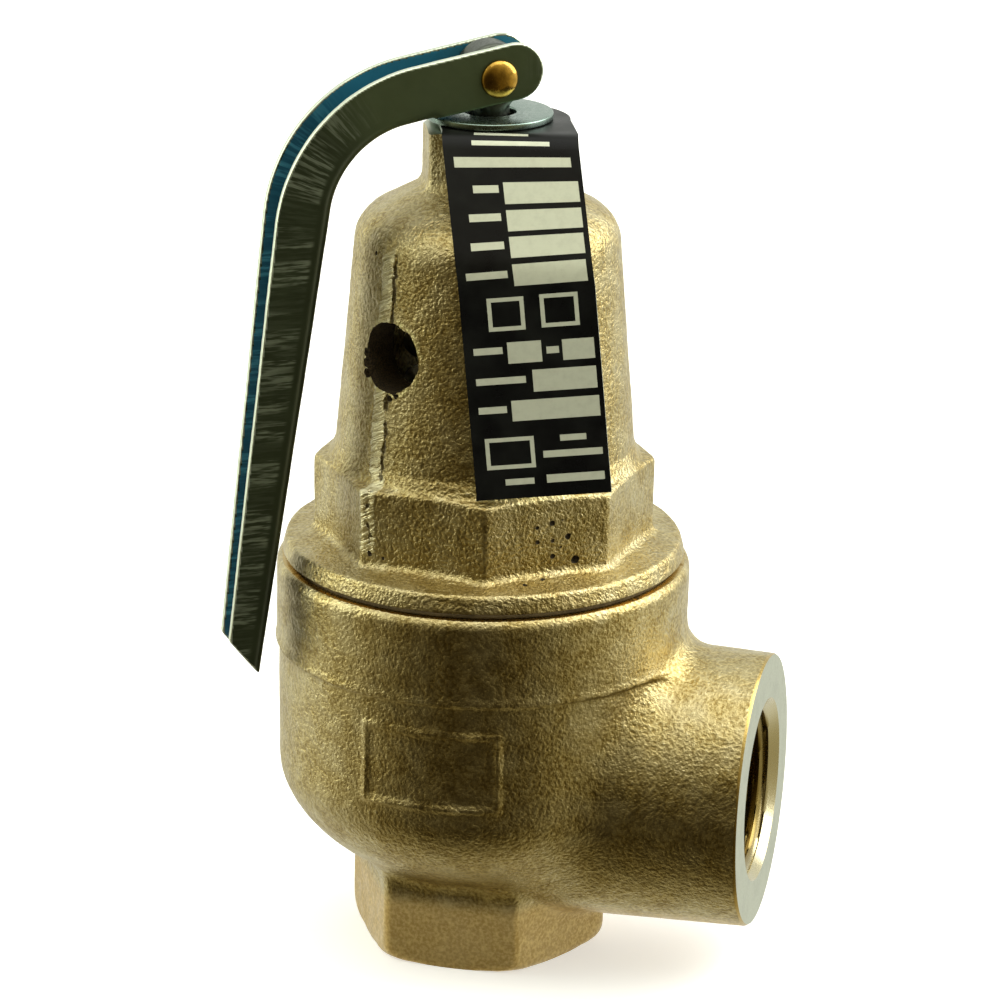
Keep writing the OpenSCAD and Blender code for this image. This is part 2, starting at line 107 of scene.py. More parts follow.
class Noise:
    """Smooth random value from -1 to 1 at any point, the same on every run."""

    def __init__(self, seed, cells=48):
        self.cells = cells
        self.table = np.random.default_rng(seed).uniform(-1, 1, (cells, cells, cells))

    def __call__(self, points, size):
        q = points / size
        base = np.floor(q).astype(int)
        f = q - base
        f = f * f * (3 - 2 * f)
        total = 0
        for i in (0, 1):
            for j in (0, 1):
                for k in (0, 1):
                    weight = (np.where(i, f[:, 0], 1 - f[:, 0])
                              * np.where(j, f[:, 1], 1 - f[:, 1])
                              * np.where(k, f[:, 2], 1 - f[:, 2]))
                    n = (base + (i, j, k)) % self.cells
                    total = total + weight * self.table[n[:, 0], n[:, 1], n[:, 2]]
        return total


def arc(x, y, r, a0, a1, steps):
    angles = np.radians(np.linspace(a0, a1, steps + 1))
    return [(x + r * math.cos(a), y + r * math.sin(a)) for a in angles]


def outline_distance(x, y, points):
    """Signed distance from a closed outline, negative inside it."""
    best = np.full(x.shape, 1e12)
    outside = np.ones(x.shape, bool)
    for (ax, ay), (bx, by) in zip(points, points[1:] + points[:1]):
        ex, ey = bx - ax, by - ay
        if ex == ey == 0:
            continue
        wx, wy = x - ax, y - ay
        t = np.clip((wx * ex + wy * ey) / (ex * ex + ey * ey), 0, 1)
        best = np.minimum(best, (wx - ex * t) ** 2 + (wy - ey * t) ** 2)
        above, below, left = wy >= 0, y < by, ex * wy > ey * wx
        outside ^= (above & below & left) | (~above & ~below & ~left)
    return np.where(outside, 1, -1) * np.sqrt(best)


def join(a, b, k):
    """Union whose crease is filled over a width k."""
    h = np.clip(0.5 + 0.5 * (b - a) / k, 0, 1)
    return b * (1 - h) + a * h - k * h * (1 - h)


def both(a, b, k):
    """Intersection whose edge is rounded over a width k."""
    return -join(-a, -b, k)


def prism_sides(x, y, apothem, turn, sides, k):
    """Distance from an upright prism with rounded corners."""
    out = None
    for i in range(sides // 2):
        a = turn + 2 * math.pi * i / sides
        side = np.abs(x * math.cos(a) + y * math.sin(a)) - apothem
        out = side if out is None else both(out, side, k)
    return out


# ---- meshing

def sample(field, low, high, step, stride=5):
    """Field values on a block of points, worked out in full only near the surface."""
    low = np.array(low, float)
    count = np.ceil((np.array(high, float) - low) / step / stride).astype(int) * stride
    axes = [low[i] + step * np.arange(count[i]) for i in range(3)]
    middle = (stride - 1) / 2
    coarse_axes = [low[i] + step * (np.arange(count[i] // stride) * stride + middle)
                   for i in range(3)]
    grid = np.meshgrid(*coarse_axes, indexing="ij")
    coarse = field(*[g.ravel() for g in grid]).reshape(grid[0].shape)
    block = np.ones((stride, stride, stride), np.float32)
    values = np.kron(coarse.astype(np.float32), block)
    near = np.kron((np.abs(coarse) < stride * step).astype(np.uint8),
                   block.astype(np.uint8)).astype(bool)
    i, j, k = np.nonzero(near)
    values[near] = field(axes[0][i], axes[1][j], axes[2][k])
    return values, low


def surface_net(values, low, step):
    """Vertices and outward quads of the surface where the values change sign."""
    inside = values < 0
    cells = tuple(n - 1 for n in values.shape)
    total = np.zeros(cells, np.uint8)
    for i in (0, 1):
        for j in (0, 1):
            for k in (0, 1):
                total += inside[i:i + cells[0], j:j + cells[1], k:k + cells[2]]
    at = np.argwhere((total > 0) & (total < 8))
    index = np.full(cells, -1)
    index[tuple(at.T)] = np.arange(len(at))
    offset, hits = np.zeros((len(at), 3)), np.zeros(len(at))
    unit = np.eye(3, dtype=int)
    quads = []
    for a in range(3):
        u, v = (a + 1) % 3, (a + 2) % 3
        for i in (0, 1):
            for j in (0, 1):
                start = unit[u] * i + unit[v] * j
                v0 = values[tuple((at + start).T)]
                v1 = values[tuple((at + start + unit[a]).T)]
                crossed = (v0 < 0) != (v1 < 0)
                t = np.where(crossed, v0 / np.where(crossed, v0 - v1, 1), 0)
                offset[crossed] += (start + t[:, None] * unit[a])[crossed]
                hits += crossed
        lo = [slice(1, n - 1) for n in values.shape]
        lo[a] = slice(0, values.shape[a] - 1)
        hi = list(lo)
        hi[a] = slice(1, values.shape[a])
        change = np.argwhere(inside[tuple(lo)] != inside[tuple(hi)])
        p = change + [s.start for s in lo]
        ring = [index[tuple((p - d).T)] for d in (unit[u] + unit[v], unit[v], 0 * unit[u], unit[u])]
        quad = np.stack(ring, 1)
        entering = ~inside[tuple(p.T)]
        quad[entering] = quad[entering][:, ::-1]
        quads.append(quad[(quad >= 0).all(1)])
    return low + step * (at + offset / hits[:, None]), np.vstack(quads)


def gradient(field, points, h=0.06):
    """Outward unit normals, from four samples at the corners of a small tetrahedron."""
    out = np.zeros_like(points)
    for corner_way in np.array([(1, 1, 1), (1, -1, -1), (-1, 1, -1), (-1, -1, 1)]):
        out += corner_way * field(*(points + h * corner_way).T)[:, None]
    return out / np.maximum(np.linalg.norm(out, axis=1), 1e-9)[:, None]


def field_mesh(field, low, high, step):
    """Vertices, quads and normals of a field's surface, drawn on to the exact surface."""
    points, quads = surface_net(*sample(field, low, high, step), step)
    normals = gradient(field, points)
    reach = np.clip(field(*points.T), -step, step)
    return points - 0.9 * reach[:, None] * normals, quads, normals


def add_object(name, points, faces, materials, slots=None):
    mesh = bpy.data.meshes.new(name)
    faces = faces.tolist() if hasattr(faces, "tolist") else faces
    mesh.from_pydata((np.asarray(points) * MM).tolist(), [], faces)
    for m in materials:
        mesh.materials.append(m)
    if slots is not None:
        mesh.polygons.foreach_set("material_index", np.asarray(slots, np.int32))
    mesh.polygons.foreach_set("use_smooth", np.ones(len(mesh.polygons), bool))
    mesh.update()
    obj = bpy.data.objects.new(name, mesh)
    bpy.context.scene.collection.objects.link(obj)
    return obj


def carve(obj, cutters):
    """Cuts each closed mesh out of obj. The cut faces take the cutter's material."""
    for cutter in cutters:
        cut = obj.modifiers.new("cut", "BOOLEAN")
        cut.operation = "DIFFERENCE"
        cut.solver = "MANIFOLD"
        cut.material_mode = "TRANSFER"
        cut.object = cutter
    graph = bpy.context.evaluated_depsgraph_get()
    done = bpy.data.meshes.new_from_object(obj.evaluated_get(graph), depsgraph=graph)
    obj.modifiers.clear()
    obj.data = done
    for cutter in cutters:
        bpy.data.objects.remove(cutter)
    return obj


def crease(obj, degrees):
    obj.data.polygons.foreach_set("use_smooth", np.ones(len(obj.data.polygons), bool))
    obj.data.set_sharp_from_angle(angle=math.radians(degrees))


def fit(piece, degrees, node, body):
    """Creases a piece, hides the CAD part it stands for and hangs it on the body it rides."""
    crease(piece, degrees)
    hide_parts(node)
    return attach(piece, body)


def turned_mesh(rows, columns, loop=False):
    """Points and faces of rings of equal length, capped at both ends or joined into a loop."""
    at = np.arange(len(rows) * columns).reshape(-1, columns)
    beside = np.roll(at, -1, axis=1)
    faces = np.stack([at, beside, np.roll(beside, -1, axis=0), np.roll(at, -1, axis=0)], -1)
    if loop:
        return np.vstack(rows), faces.reshape(-1, 4)
    caps = [at[0, ::-1].tolist(), at[-1].tolist()]
    return np.vstack(rows), faces[:-1].reshape(-1, 4).tolist() + caps


def lathe(name, profile, materials, loop=False, columns=128, place=None, radius=None):
    """A turned piece: profile runs up the axis as (radius, height), with the metal inside it."""
    angles = np.linspace(0, 2 * math.pi, columns, endpoint=False)
    rows = []
    for r, z in profile:
        reach = r if radius is None else radius(r, z, angles)
        rows.append(np.stack([reach * np.cos(angles), reach * np.sin(angles),
                              np.full(columns, float(z))], 1))
    points, faces = turned_mesh(rows, columns, loop)
    if place is not None:
        points = points @ np.array(place.to_3x3()).T + np.array(place.translation)
    return add_object(name, points, faces, materials)


def plug(name, outline, material, place=None):
    """A turned cutter whose outline may start and end on the axis."""
    return lathe(name, [(max(r, 0.01), z) for r, z in outline], [material], place=place)


def facing(direction, origin):
    """Placement whose own +Z runs along a direction from an origin."""
    turn = Vector(direction).to_track_quat("Z", "Y").to_matrix().to_4x4()
    return Matrix.Translation(Vector(origin)) @ turn


# ---- materials

def wire(tree, socket, value):
    """Links a socket to another one, or sets its value."""
    if isinstance(value, bpy.types.NodeSocket):
        tree.links.new(value, socket)
    else:
        socket.default_value = value


def add_node(tree, kind, sockets=None, **settings):
    node = tree.nodes.new("ShaderNode" + kind)
    for key, value in settings.items():
        setattr(node, key, value)
    for key, value in (sockets or {}).items():
        wire(tree, node.inputs[key], value)
    return node


class Look:
    """A node material under construction."""

    def __init__(self, name):
        self.material = bpy.data.materials.new(name)
        self.material.use_nodes = True
        self.tree = self.material.node_tree
        self.shader = self.tree.nodes["Principled BSDF"]
        self.place = self.add("TexCoord").outputs["Object"]

    def add(self, kind, sockets=None, **settings):
        return add_node(self.tree, kind, sockets, **settings)

    def finish(self, colour, rough, relief, metal=1.0, specular=0.5):
        """Wires the surface up and returns the finished material."""
        for name, value in (("Base Color", colour), ("Roughness", rough), ("Normal", relief),
                            ("Metallic", metal), ("Specular IOR Level", specular)):
            wire(self.tree, self.shader.inputs[name], value)
        return self.material

    def math(self, operation, a, b=0.0):
        return self.add("Math", {0: a, 1: b}, operation=operation).outputs[0]

    def plus(self, a, b):
        return self.math("ADD", a, b)

    def minus(self, a, b):
        return self.math("SUBTRACT", a, b)

    def times(self, a, b):
        return self.math("MULTIPLY", a, b)

    def noise(self, size_mm, detail=2.0, rough=0.5, vector=None):
        return self.add("TexNoise", {"Vector": vector or self.place, "Scale": 1 / (size_mm * MM),
                                     "Detail": detail, "Roughness": rough}).outputs[0]

    def cells(self, size_mm):
        return self.add("TexVoronoi", {"Vector": self.place, "Scale": 1 / (size_mm * MM)},
                        feature="SMOOTH_F1").outputs[0]

    def stretch(self, x, y, z):
        return self.add("Mapping", {"Vector": self.place, "Scale": (x, y, z)}).outputs[0]

    def range(self, value, a, b, low=0.0, high=1.0):
        return self.add("MapRange", {"Value": value, "From Min": a, "From Max": b, "To Min": low,
                                     "To Max": high}, interpolation_type="SMOOTHSTEP").outputs[0]

    def along(self, direction):
        """How far a point lies along a direction, in millimetres."""
        dot = self.add("VectorMath", {0: self.place, 1: direction}, operation="DOT_PRODUCT")
        return self.math("DIVIDE", dot.outputs["Value"], MM)

    def blend(self, factor, a, b):
        a, b = ((*c, 1.0) if isinstance(c, tuple) else c for c in (a, b))
        return self.add("Mix", {0: factor, 6: a, 7: b}, data_type="RGBA").outputs[2]

    def bump(self, height, depth_mm, strength=1.0, normal=None):
        sockets = {"Height": height, "Distance": depth_mm * MM, "Strength": strength}
        if normal:
            sockets["Normal"] = normal
        return self.add("Bump", sockets).outputs[0]

    def point(self, x, y):
        """A texture place from two lengths in millimetres."""
        return self.add("CombineXYZ", {0: self.times(x, MM), 1: self.times(y, MM)}).outputs[0]

    def attribute(self, name):
        return self.add("Attribute", attribute_name=name).outputs["Fac"]


def darker(colour, share):
    return tuple(share * c for c in colour)


BRONZE_HOLLOW_SHADE = (0.30, 0.22, 0.075)
BRONZE = (0.53, 0.43, 0.195)
BRONZE_PALE = (0.68, 0.62, 0.40)


def cast_bronze(name, depth, seams=False, hexagon=False):
    """Sand-cast bronze: pebbled skin, coloured darker brown in its hollows as painted shade and paler
    on its high spots as painted highlight.
    """
    look = Look(name)
    skin = look.plus(look.noise(0.46, 2.0, 0.55), look.times(look.cells(0.62), 0.45))
    lumps = look.noise(5.0, 2.0, 0.5)
    # painted shade: the skin's hollows are coloured darker brown
    colour = look.blend(look.range(skin, 0.50, 0.86), BRONZE_HOLLOW_SHADE, BRONZE)
    # painted highlight: the skin's high spots are coloured paler; the line after adds random paler
    # patches
    colour = look.blend(look.range(skin, 0.84, 1.05, 0.0, 0.6), colour, BRONZE_PALE)
    colour = look.blend(look.range(lumps, 0.35, 0.75, 0.0, 0.4), colour, BRONZE_PALE)
    rough = look.range(look.noise(2.2, 2.0), 0.3, 0.7, 0.30, 0.42)
    metal = 1.0
    if hexagon:
        colour, skin, metal = hexagon_skin(look, colour, skin)
    if seams:
        colour, skin = seam_skin(look, colour, skin)
    fine = look.noise(0.15, 2.0, 0.6)
    relief = look.bump(fine, 0.025, 0.8, look.bump(skin, depth))
    return look.finish(colour, rough, relief, metal)


def hexagon_skin(look, colour, skin):
    """Below the bowl the skin turns smoother and more golden."""
    smooth = look.range(look.along((0, 0, 1)), 9.0, 12.5, 1.0, 0.0)
    # painted shade: the gold is darker in the skin's hollows
    gold = look.blend(look.range(skin, 0.5, 1.0), (0.40, 0.265, 0.080), (0.58, 0.41, 0.145))
    colour = look.blend(look.times(smooth, 0.8), colour, gold)
    skin = look.times(skin, look.minus(1.0, look.times(smooth, 0.6)))
    return colour, skin, look.minus(1.0, look.times(smooth, 0.5))


def seam_skin(look, colour, skin):
    """The mould's parting seam: a ragged crack coloured near black as painted shade, a ground strip
    beside it coloured pale (bare filed metal, partly a painted highlight) and a burr at the vent.
    """
    height = look.along((0, 0, 1))
    outward = look.along((math.cos(VENT_TURN), math.sin(VENT_TURN), 0))
    side = look.along((math.sin(VENT_TURN), -math.cos(VENT_TURN), 0))
    wander = look.times(look.minus(look.noise(3.0, 3.0), 0.5), 1.3)
    jagged = look.times(look.minus(look.noise(0.7, 2.0), 0.5), 0.8)
    ragged = look.plus(side, jagged)
    side = look.plus(side, wander)
    tower = look.times(look.range(height, RIM_Z + 5, RIM_Z + 6.5),
                       look.range(height, RIM_Z + 49, RIM_Z + 51.5, 1.0, 0.0))
    tower = look.times(tower, look.range(outward, 15.0, 16.0))

    crack = look.math("ABSOLUTE", look.plus(ragged, wander))
    crack = look.minus(crack, look.range(look.noise(1.3, 2.0), 0.4, 0.7, 0.0, 0.4))
    line = look.times(tower, look.range(crack, 0.0, 0.22, 1.0, 0.0))
    line = look.times(line, look.range(look.noise(2.6, 2.0), 0.40, 0.52))

    lower = look.range(height, RIM_Z + 16.5, RIM_Z + 18.5, 1.3, 0.0)
    inward = look.plus(look.plus(side, lower), jagged)
    strip = look.times(look.range(inward, 0.1, 0.4), look.range(inward, 2.4, 2.8, 1.0, 0.0))
    strip = look.times(strip, tower)
    slant = look.plus(height, look.times(side, 0.55))
    marks = look.noise(0.7, 3.0, 0.7, look.point(slant, look.times(side, 0.12)))

    rise = look.minus(height, VENT_Z)
    spread = look.math("SQRT", look.plus(look.times(ragged, ragged), look.times(rise, rise)))
    burr = look.times(look.range(spread, VENT_R + 0.3, VENT_R + 0.9, 1.0, 0.0),
                      look.range(look.noise(1.1, 2.0), 0.42, 0.58))
    burr = look.times(burr, look.range(look.math("ABSOLUTE", outward), 15.0, 16.0))

    skin = look.times(skin, look.minus(1.0, look.times(strip, 0.7)))
    skin = look.plus(skin, look.times(strip, look.times(marks, 1.6)))
    skin = look.minus(skin, look.times(line, 0.9))
    # pale ground strip: bare filed metal, partly a painted highlight along the seam
    ground = look.times(strip, look.range(marks, 0.40, 0.56, 0.2, 1.0))
    colour = look.blend(ground, colour, (0.90, 0.84, 0.56))
    colour = look.blend(look.times(burr, 0.7), colour, (0.86, 0.80, 0.42))
    # painted shade: the crack is coloured near black
    colour = look.blend(look.times(line, 0.9), colour, (0.045, 0.03, 0.01))
    return colour, skin


def machined(name, tint, roughness):
    """Turned or faced metal with fine tool marks."""
    look = Look(name)
    marks = look.noise(0.35, 3.0, 0.7)
    stain = look.range(look.noise(3.0, 3.0, 0.6), 0.4, 0.75, 0.0, 0.45)
    colour = look.blend(stain, tint, darker(tint, 0.72))
    rough = look.range(marks, 0.3, 0.7, roughness - 0.05, roughness + 0.09)
    return look.finish(colour, rough, look.bump(marks, 0.02, 0.5))


def bore_metal(name):
    """Threaded bore: pale chamfer at the outlet's mouth, coloured darker further in as painted shade.
    """
    look = Look(name)
    marks = look.noise(0.3, 3.0, 0.7)
    depth = look.minus(OUTLET_X, look.along((1, 0, 0)))
    # painted shade: the bore darkens with depth behind the outlet face
    colour = look.blend(look.range(depth, 1.2, 2.2), (0.56, 0.50, 0.32), (0.24, 0.175, 0.055))
    rough = look.range(marks, 0.3, 0.7, 0.20, 0.30)
    return look.finish(colour, rough, look.bump(marks, 0.02, 0.5))


def turned(name, tint, roughness=0.24, pitch=0.28):
    """Metal turned about the valve axis, with rings left by the tool."""
    look = Look(name)
    flat = look.stretch(1.0, 1.0, 0.0)
    radius = look.add("VectorMath", {0: flat}, operation="LENGTH").outputs["Value"]
    travel = look.plus(radius, look.times(look.along((0, 0, 1)), MM))
    rings = look.math("SINE", look.times(travel, 2 * math.pi / (pitch * MM)))
    patch = look.noise(2.5, 3.0, 0.6)
    colour = look.blend(look.range(patch, 0.35, 0.75, 0.0, 0.5), tint, darker(tint, 0.66))
    rough = look.range(patch, 0.3, 0.7, roughness, roughness + 0.12)
    return look.finish(colour, rough, look.bump(rings, 0.012, 0.7))


def plated_steel(name, tint, roughness, grain=0.5, tarnish=0.5):
    """Plated or drawn metal with a fine grain and duller spots."""
    look = Look(name)
    spots = look.noise(1.6, 4.0, 0.65)
    fine = look.noise(grain, 2.0, 0.6)
    colour = look.blend(look.range(spots, 0.4, 0.7, 0.0, tarnish), tint, darker(tint, 0.5))
    rough = look.range(fine, 0.3, 0.7, roughness - 0.05, roughness + 0.1)
    return look.finish(colour, rough, look.bump(fine, 0.012, 0.6))


def lever_plating(name, base, streak, metal=0.75):
    """Dark plating with streaks that run across the lever, worn bare along its edges, lighter near
    the pin as a painted sheen and with a pale painted highlight along the web bend.
    """
    look = Look(name)
    lit = look.attribute("streaky")
    bare = look.attribute("bare")
    row = look.point(look.attribute("along"), look.times(look.attribute("across"), 0.08))
    streaks = look.noise(0.6, 3.0, 0.65, row)
    bands = look.range(look.noise(3.6, 2.0, 0.5, row), 0.42, 0.56, 0.12, 1.0)
    fine = look.noise(0.35, 3.0, 0.6, row)
    cloud = look.noise(6.0, 3.0, 0.6)
    strength = look.times(look.range(streaks, 0.44, 0.60), look.times(bands, lit))
    # painted sheen: the base darkens where the dark attribute rises, away from the pin
    colour = look.blend(look.times(look.attribute("dark"), 0.9), base, darker(base, 0.36))
    colour = look.blend(look.times(strength, 0.85), colour, streak)
    colour = look.blend(look.range(cloud, 0.4, 0.8, 0.0, 0.3), colour, darker(base, 0.6))
    colour = look.blend(bare, colour, (0.70, 0.76, 0.62))
    height = look.plus(look.times(streaks, lit), look.times(fine, 0.3))
    rough = look.range(cloud, 0.3, 0.7, 0.30, 0.44)
    return look.finish(colour, rough, look.bump(height, 0.05, 0.6),
                       look.math("MAXIMUM", metal, bare))


def tag_black(name):
    look = Look(name)
    mottle = look.noise(0.6, 3.0, 0.6)
    smudge = look.noise(7.0, 3.0, 0.6)
    scratch = look.noise(0.5, 4.0, 0.75, look.stretch(0.25, 0.25, 2.0))
    colour = look.blend(look.range(smudge, 0.35, 0.75, 0.0, 0.6), (0.003, 0.003, 0.003),
                        (0.009, 0.010, 0.008))
    colour = look.blend(look.range(scratch, 0.72, 0.80, 0.0, 0.25), colour, (0.10, 0.11, 0.10))
    rough = look.range(smudge, 0.3, 0.7, 0.26, 0.38)
    return look.finish(colour, rough, look.bump(mottle, 0.012, 0.5), metal=0.0, specular=0.14)


def tag_silver(name):
    look = Look(name)
    brushed = look.noise(0.30, 3.0, 0.6, look.stretch(0.15, 0.15, 3.0))
    worn = look.noise(1.3, 4.0, 0.65)
    colour = look.blend(look.range(worn, 0.4, 0.72, 0.0, 0.35), (0.58, 0.61, 0.48),
                        (0.44, 0.46, 0.36))
    rough = look.range(brushed, 0.3, 0.7, 0.40, 0.54)
    return look.finish(colour, rough, look.bump(brushed, 0.01, 0.6), metal=0.5)


def moulded(name, tint, roughness, speckle=0.12):
    """Rubber, plastic or fibre with a faint speckle."""
    look = Look(name)
    grain = look.noise(0.35, 3.0, 0.6)
    cloud = look.noise(2.4, 2.0)
    colour = look.blend(look.range(cloud, 0.3, 0.7, 0.0, speckle * 3), tint,
                        tuple(min(1, 1.7 * c + 0.01) for c in tint))
    rough = look.range(grain, 0.3, 0.7, roughness - 0.06, roughness + 0.1)
    return look.finish(colour, rough, look.bump(grain, 0.02, 0.5), metal=0.0)


def pit_painted_shade(name):
    look = Look(name)
    grit = look.noise(0.25, 3.0, 0.6)
    # painted shade: blowholes and the vent walls are coloured near black
    colour = look.blend(look.range(grit, 0.35, 0.7), (0.012, 0.008, 0.003), (0.07, 0.045, 0.015))
    return look.finish(colour, 0.75, look.bump(grit, 0.06, 0.9), metal=0.4)


# ---- castings

def roughen(points, normals, noise, amount):
    """Lifts points by the casting's pebbles and slow waves."""
    height = (0.022 * noise(points, 0.9) + 0.035 * noise(points + 31, 2.1)
              + 0.060 * noise(points + 77, 5.2))
    return points + normals * (height * amount)[:, None]


def bowl(r, depth, top, power, steps=24):
    angles = np.radians(np.linspace(0, 90, steps + 1))
    return [(r * math.sin(a) ** (2 / power), top - depth * max(math.cos(a), 0) ** (2 / power))
            for a in angles]


def body_outlines():
    step, rim = STEP_Z, RIM_Z
    shell = ([(-9, 9.6)] + bowl(BODY_R, 19.7, 29.3, 1.84)
             + [(BODY_R, step - 0.1), (BAND_R + 0.22, step + 0.3), (BAND_R, step + 1.6)]
             + arc(BAND_R - 1.9, rim - 1.5, 1.9, 0, 75, 6) + [(-9, rim + 1.5)])
    cavity = ([(-9, 14.3)] + bowl(25.2, 16, 30.3, 2)
              + [(25.2, rim - 10.9), (27.46, rim - 10.9), (27.46, rim + 4), (-9, rim + 4)])
    nozzle = [(-9, 10.6), (12.8, 10.6), (12.8, SEAT_Z - 2), (10.8, SEAT_Z), (-9, SEAT_Z)]
    foot = ([(-9, -2), (16.4, -2), (17.7, 0)]
            + [(17.7 + 2.7 * math.sin(a), 3.6 * (1 - math.cos(a)))
               for a in np.radians(np.arange(15, 91, 15))] + [(20.4, 17.3), (-9, 17.3)])
    return shell, cavity, nozzle, foot


def body_field(x, y, z):
    shell_line, cavity_line, nozzle_line, foot_line = body_outlines()
    r = np.hypot(x, y)
    d = outline_distance(r, z, shell_line)
    q = np.hypot(y, z - OUTLET_Z)
    boss = both(q - (21.9 - 1.2 * x / OUTLET_X), np.maximum(x - OUTLET_X - 2, 8 - x), 0.5)
    d = join(d, boss, 4.0)
    port = both(prism_sides(x, y, 17.5, math.radians(30), 6, 0.9),
                outline_distance(r, z, foot_line), 0.9)
    d = join(d, port, 2.4)
    d = np.maximum(d, -outline_distance(r, z, cavity_line))
    return np.minimum(d, outline_distance(r, z, nozzle_line))


def threaded_cutter(name, place, mouth_r, depth, beyond_r, beyond, material):
    """The space inside a port: lead-in chamfer, thread and the bore behind it."""
    start = -1.0
    steps = int((depth - start) / (PITCH / 9))
    profile = [(BORE_R, start + (depth - start) * i / steps) for i in range(steps + 1)]
    profile += [(beyond_r, depth + 0.02), (beyond_r, beyond)]

    def radius(r, z, angles):
        if z > depth:
            return np.full(angles.shape, r)
        turn = z / PITCH + angles / (2 * math.pi)
        wave = 1 - 2 * np.abs(turn - np.floor(turn) - 0.5)
        fade = min(max((depth - 1.2 - z) / 1.5, 0), 1)
        cut = BORE_R + THREAD_DEPTH * np.clip(1.2 * wave - 0.1, 0, 1) * fade
        return np.maximum(cut, mouth_r - z)

    return lathe(name, profile, [material], columns=144, place=place, radius=radius)


def front_border(points, normals):
    """How far the plain raised border on the front of the body lifts each point."""
    across, up = points[:, 0], points[:, 2] - (RIM_Z - 23.6)
    half_width, half_height, line = 10.0, 5.8, 0.5
    d = np.maximum(np.abs(across) - half_width, np.abs(up) - half_height)
    upright = (points[:, 1] < 0) & (np.abs(normals[:, 2]) < 0.9)
    return 0.55 * np.exp(-(d / line) ** 2) * upright


def body_skin(points, normals, noise):
    """Roughens the body, less so on its hexagon and inside it, and raises its front border."""
    x, y, z = points.T
    r = np.hypot(x, y)
    inside_bowl = (r < 26.5) & (z > 14) & (np.abs(x) < 26)
    inside_wall = (r < 28.5) & (z > 20) & (x < 27)
    hexagon = np.clip((11.5 - z) / 3, 0, 1) * (r < 21.5)
    amount = np.where(inside_bowl | inside_wall, 0.5, 1 - 0.65 * hexagon)
    border = front_border(points, normals) * (0.6 + 0.4 * noise(points, 3.0))
    return roughen(points, normals, noise, amount) + normals * border[:, None]


def body_cutters(looks):
    """The machined faces and threaded bores of the body."""
    outlet = facing((1, 0, 0), (OUTLET_X, 0, OUTLET_Z))
    far = 24.5
    face = [(0, 0), (FACE_R, 0), (FACE_R, 6), (0, 6)]
    edge = [(FACE_R - 0.3, 0.1), (FACE_R + 0.1, -0.5), (far, -0.5), (far, 7), (FACE_R - 0.3, 7)]
    inlet = [(0, -6), (far, -6), (far, 0), (0, 0)]
    rim = [(0, RIM_Z), (BAND_R + 3, RIM_Z), (BAND_R + 3, RIM_Z + 5), (0, RIM_Z + 5)]
    return [
        plug("cut_face", face, looks["machined_face"], outlet),
        lathe("cut_face_edge", edge, [looks["bright_rim"]], loop=True, place=outlet),
        plug("cut_inlet", inlet, looks["machined_face"]),
        plug("cut_rim", rim, looks["bright_rim"]),
        threaded_cutter("cut_outlet_bore", facing((-1, 0, 0), (OUTLET_X, 0, OUTLET_Z)),
                        OUTLET_MOUTH_R, 18, 10.6, 27, looks["bore"]),
        threaded_cutter("cut_inlet_bore", facing((0, 0, 1), (0, 0, 0)),
                        INLET_MOUTH_R, 15, NOZZLE_R, SEAT_Z + 3, looks["bore"]),
    ]


def make_body(looks):
    reach = BAND_R + 1.2
    points, quads, normals = field_mesh(body_field, (-reach, -reach, -3),
                                        (OUTLET_X + 3.2, reach, RIM_Z + 3), 0.4)
    points = body_skin(points, normals, Noise(7))
    body = add_object("body_casting", points, quads, [looks["cast_body"]])
    carve(body, body_cutters(looks))
    return fit(body, 42, "valve_body", "valve")


def bonnet_outlines():
    f, w = FLANGE_Z, 25.6
    top = RIM_Z + 17.4
    flange = [(-9, BONNET_FOOT + 3), (27.4, BONNET_FOOT + 3), (27.4, f), (29.5, f - 1), (30.2, f - 1),
              (30.2, f + 0.5), (29.7, f + 2.3), (29.35, f + 2.65), (w + 0.6, f + 2.95),
              (w - 1.6, f + 3.35), (-9, f + 3.35)]
    band = [(-9, f + 1), (w + 1, f + 1), (w + 1, top - 2.8), (w - 0.4, top - 2.0),
            (23.4, top - 1.5), (22.4, top), (-9, top)]
    draft = math.degrees(math.atan(2.75 / 31.3))
    tower = ([(-9, top - 5), (22.35, top - 5), (22.35, top)]
             + arc(13.62, top + 31.3, 6, draft, 68, 8) + [(9.2, top + 40.5), (-9, top + 40.5)])
    neck = [(-9, top + 34), (11, top + 34), (11, NECK_TOP + 1.4), (-9, NECK_TOP + 1.4)]
    chamber = [(-9, BONNET_FOOT - 4), (15.5, BONNET_FOOT - 4), (15.5, top + 29.1), (6.0, top + 32.2),
               (6.0, top + 44.7), (7.9, top + 44.7), (7.9, NECK_TOP + 4), (-9, NECK_TOP + 4)]
    return flange, band, tower, neck, chamber


def bonnet_field(x, y, z):
    flange, band, tower, neck, chamber = bonnet_outlines()
    r = np.hypot(x, y)
    grip = both(prism_sides(x, y, 23.65, math.radians(WRENCH_FACE), 8, 0.35),
                outline_distance(r, z, band), 0.5)
    d = join(outline_distance(r, z, flange), grip, 1.2)
    d = join(d, outline_distance(r, z, tower), 1.0)
    stalk = both(prism_sides(x, y, 9.4, math.radians(22.5), 8, 0.5),
                 outline_distance(r, z, neck), 0.4)
    d = join(d, stalk, 1.4)
    return np.maximum(d, -outline_distance(r, z, chamber))


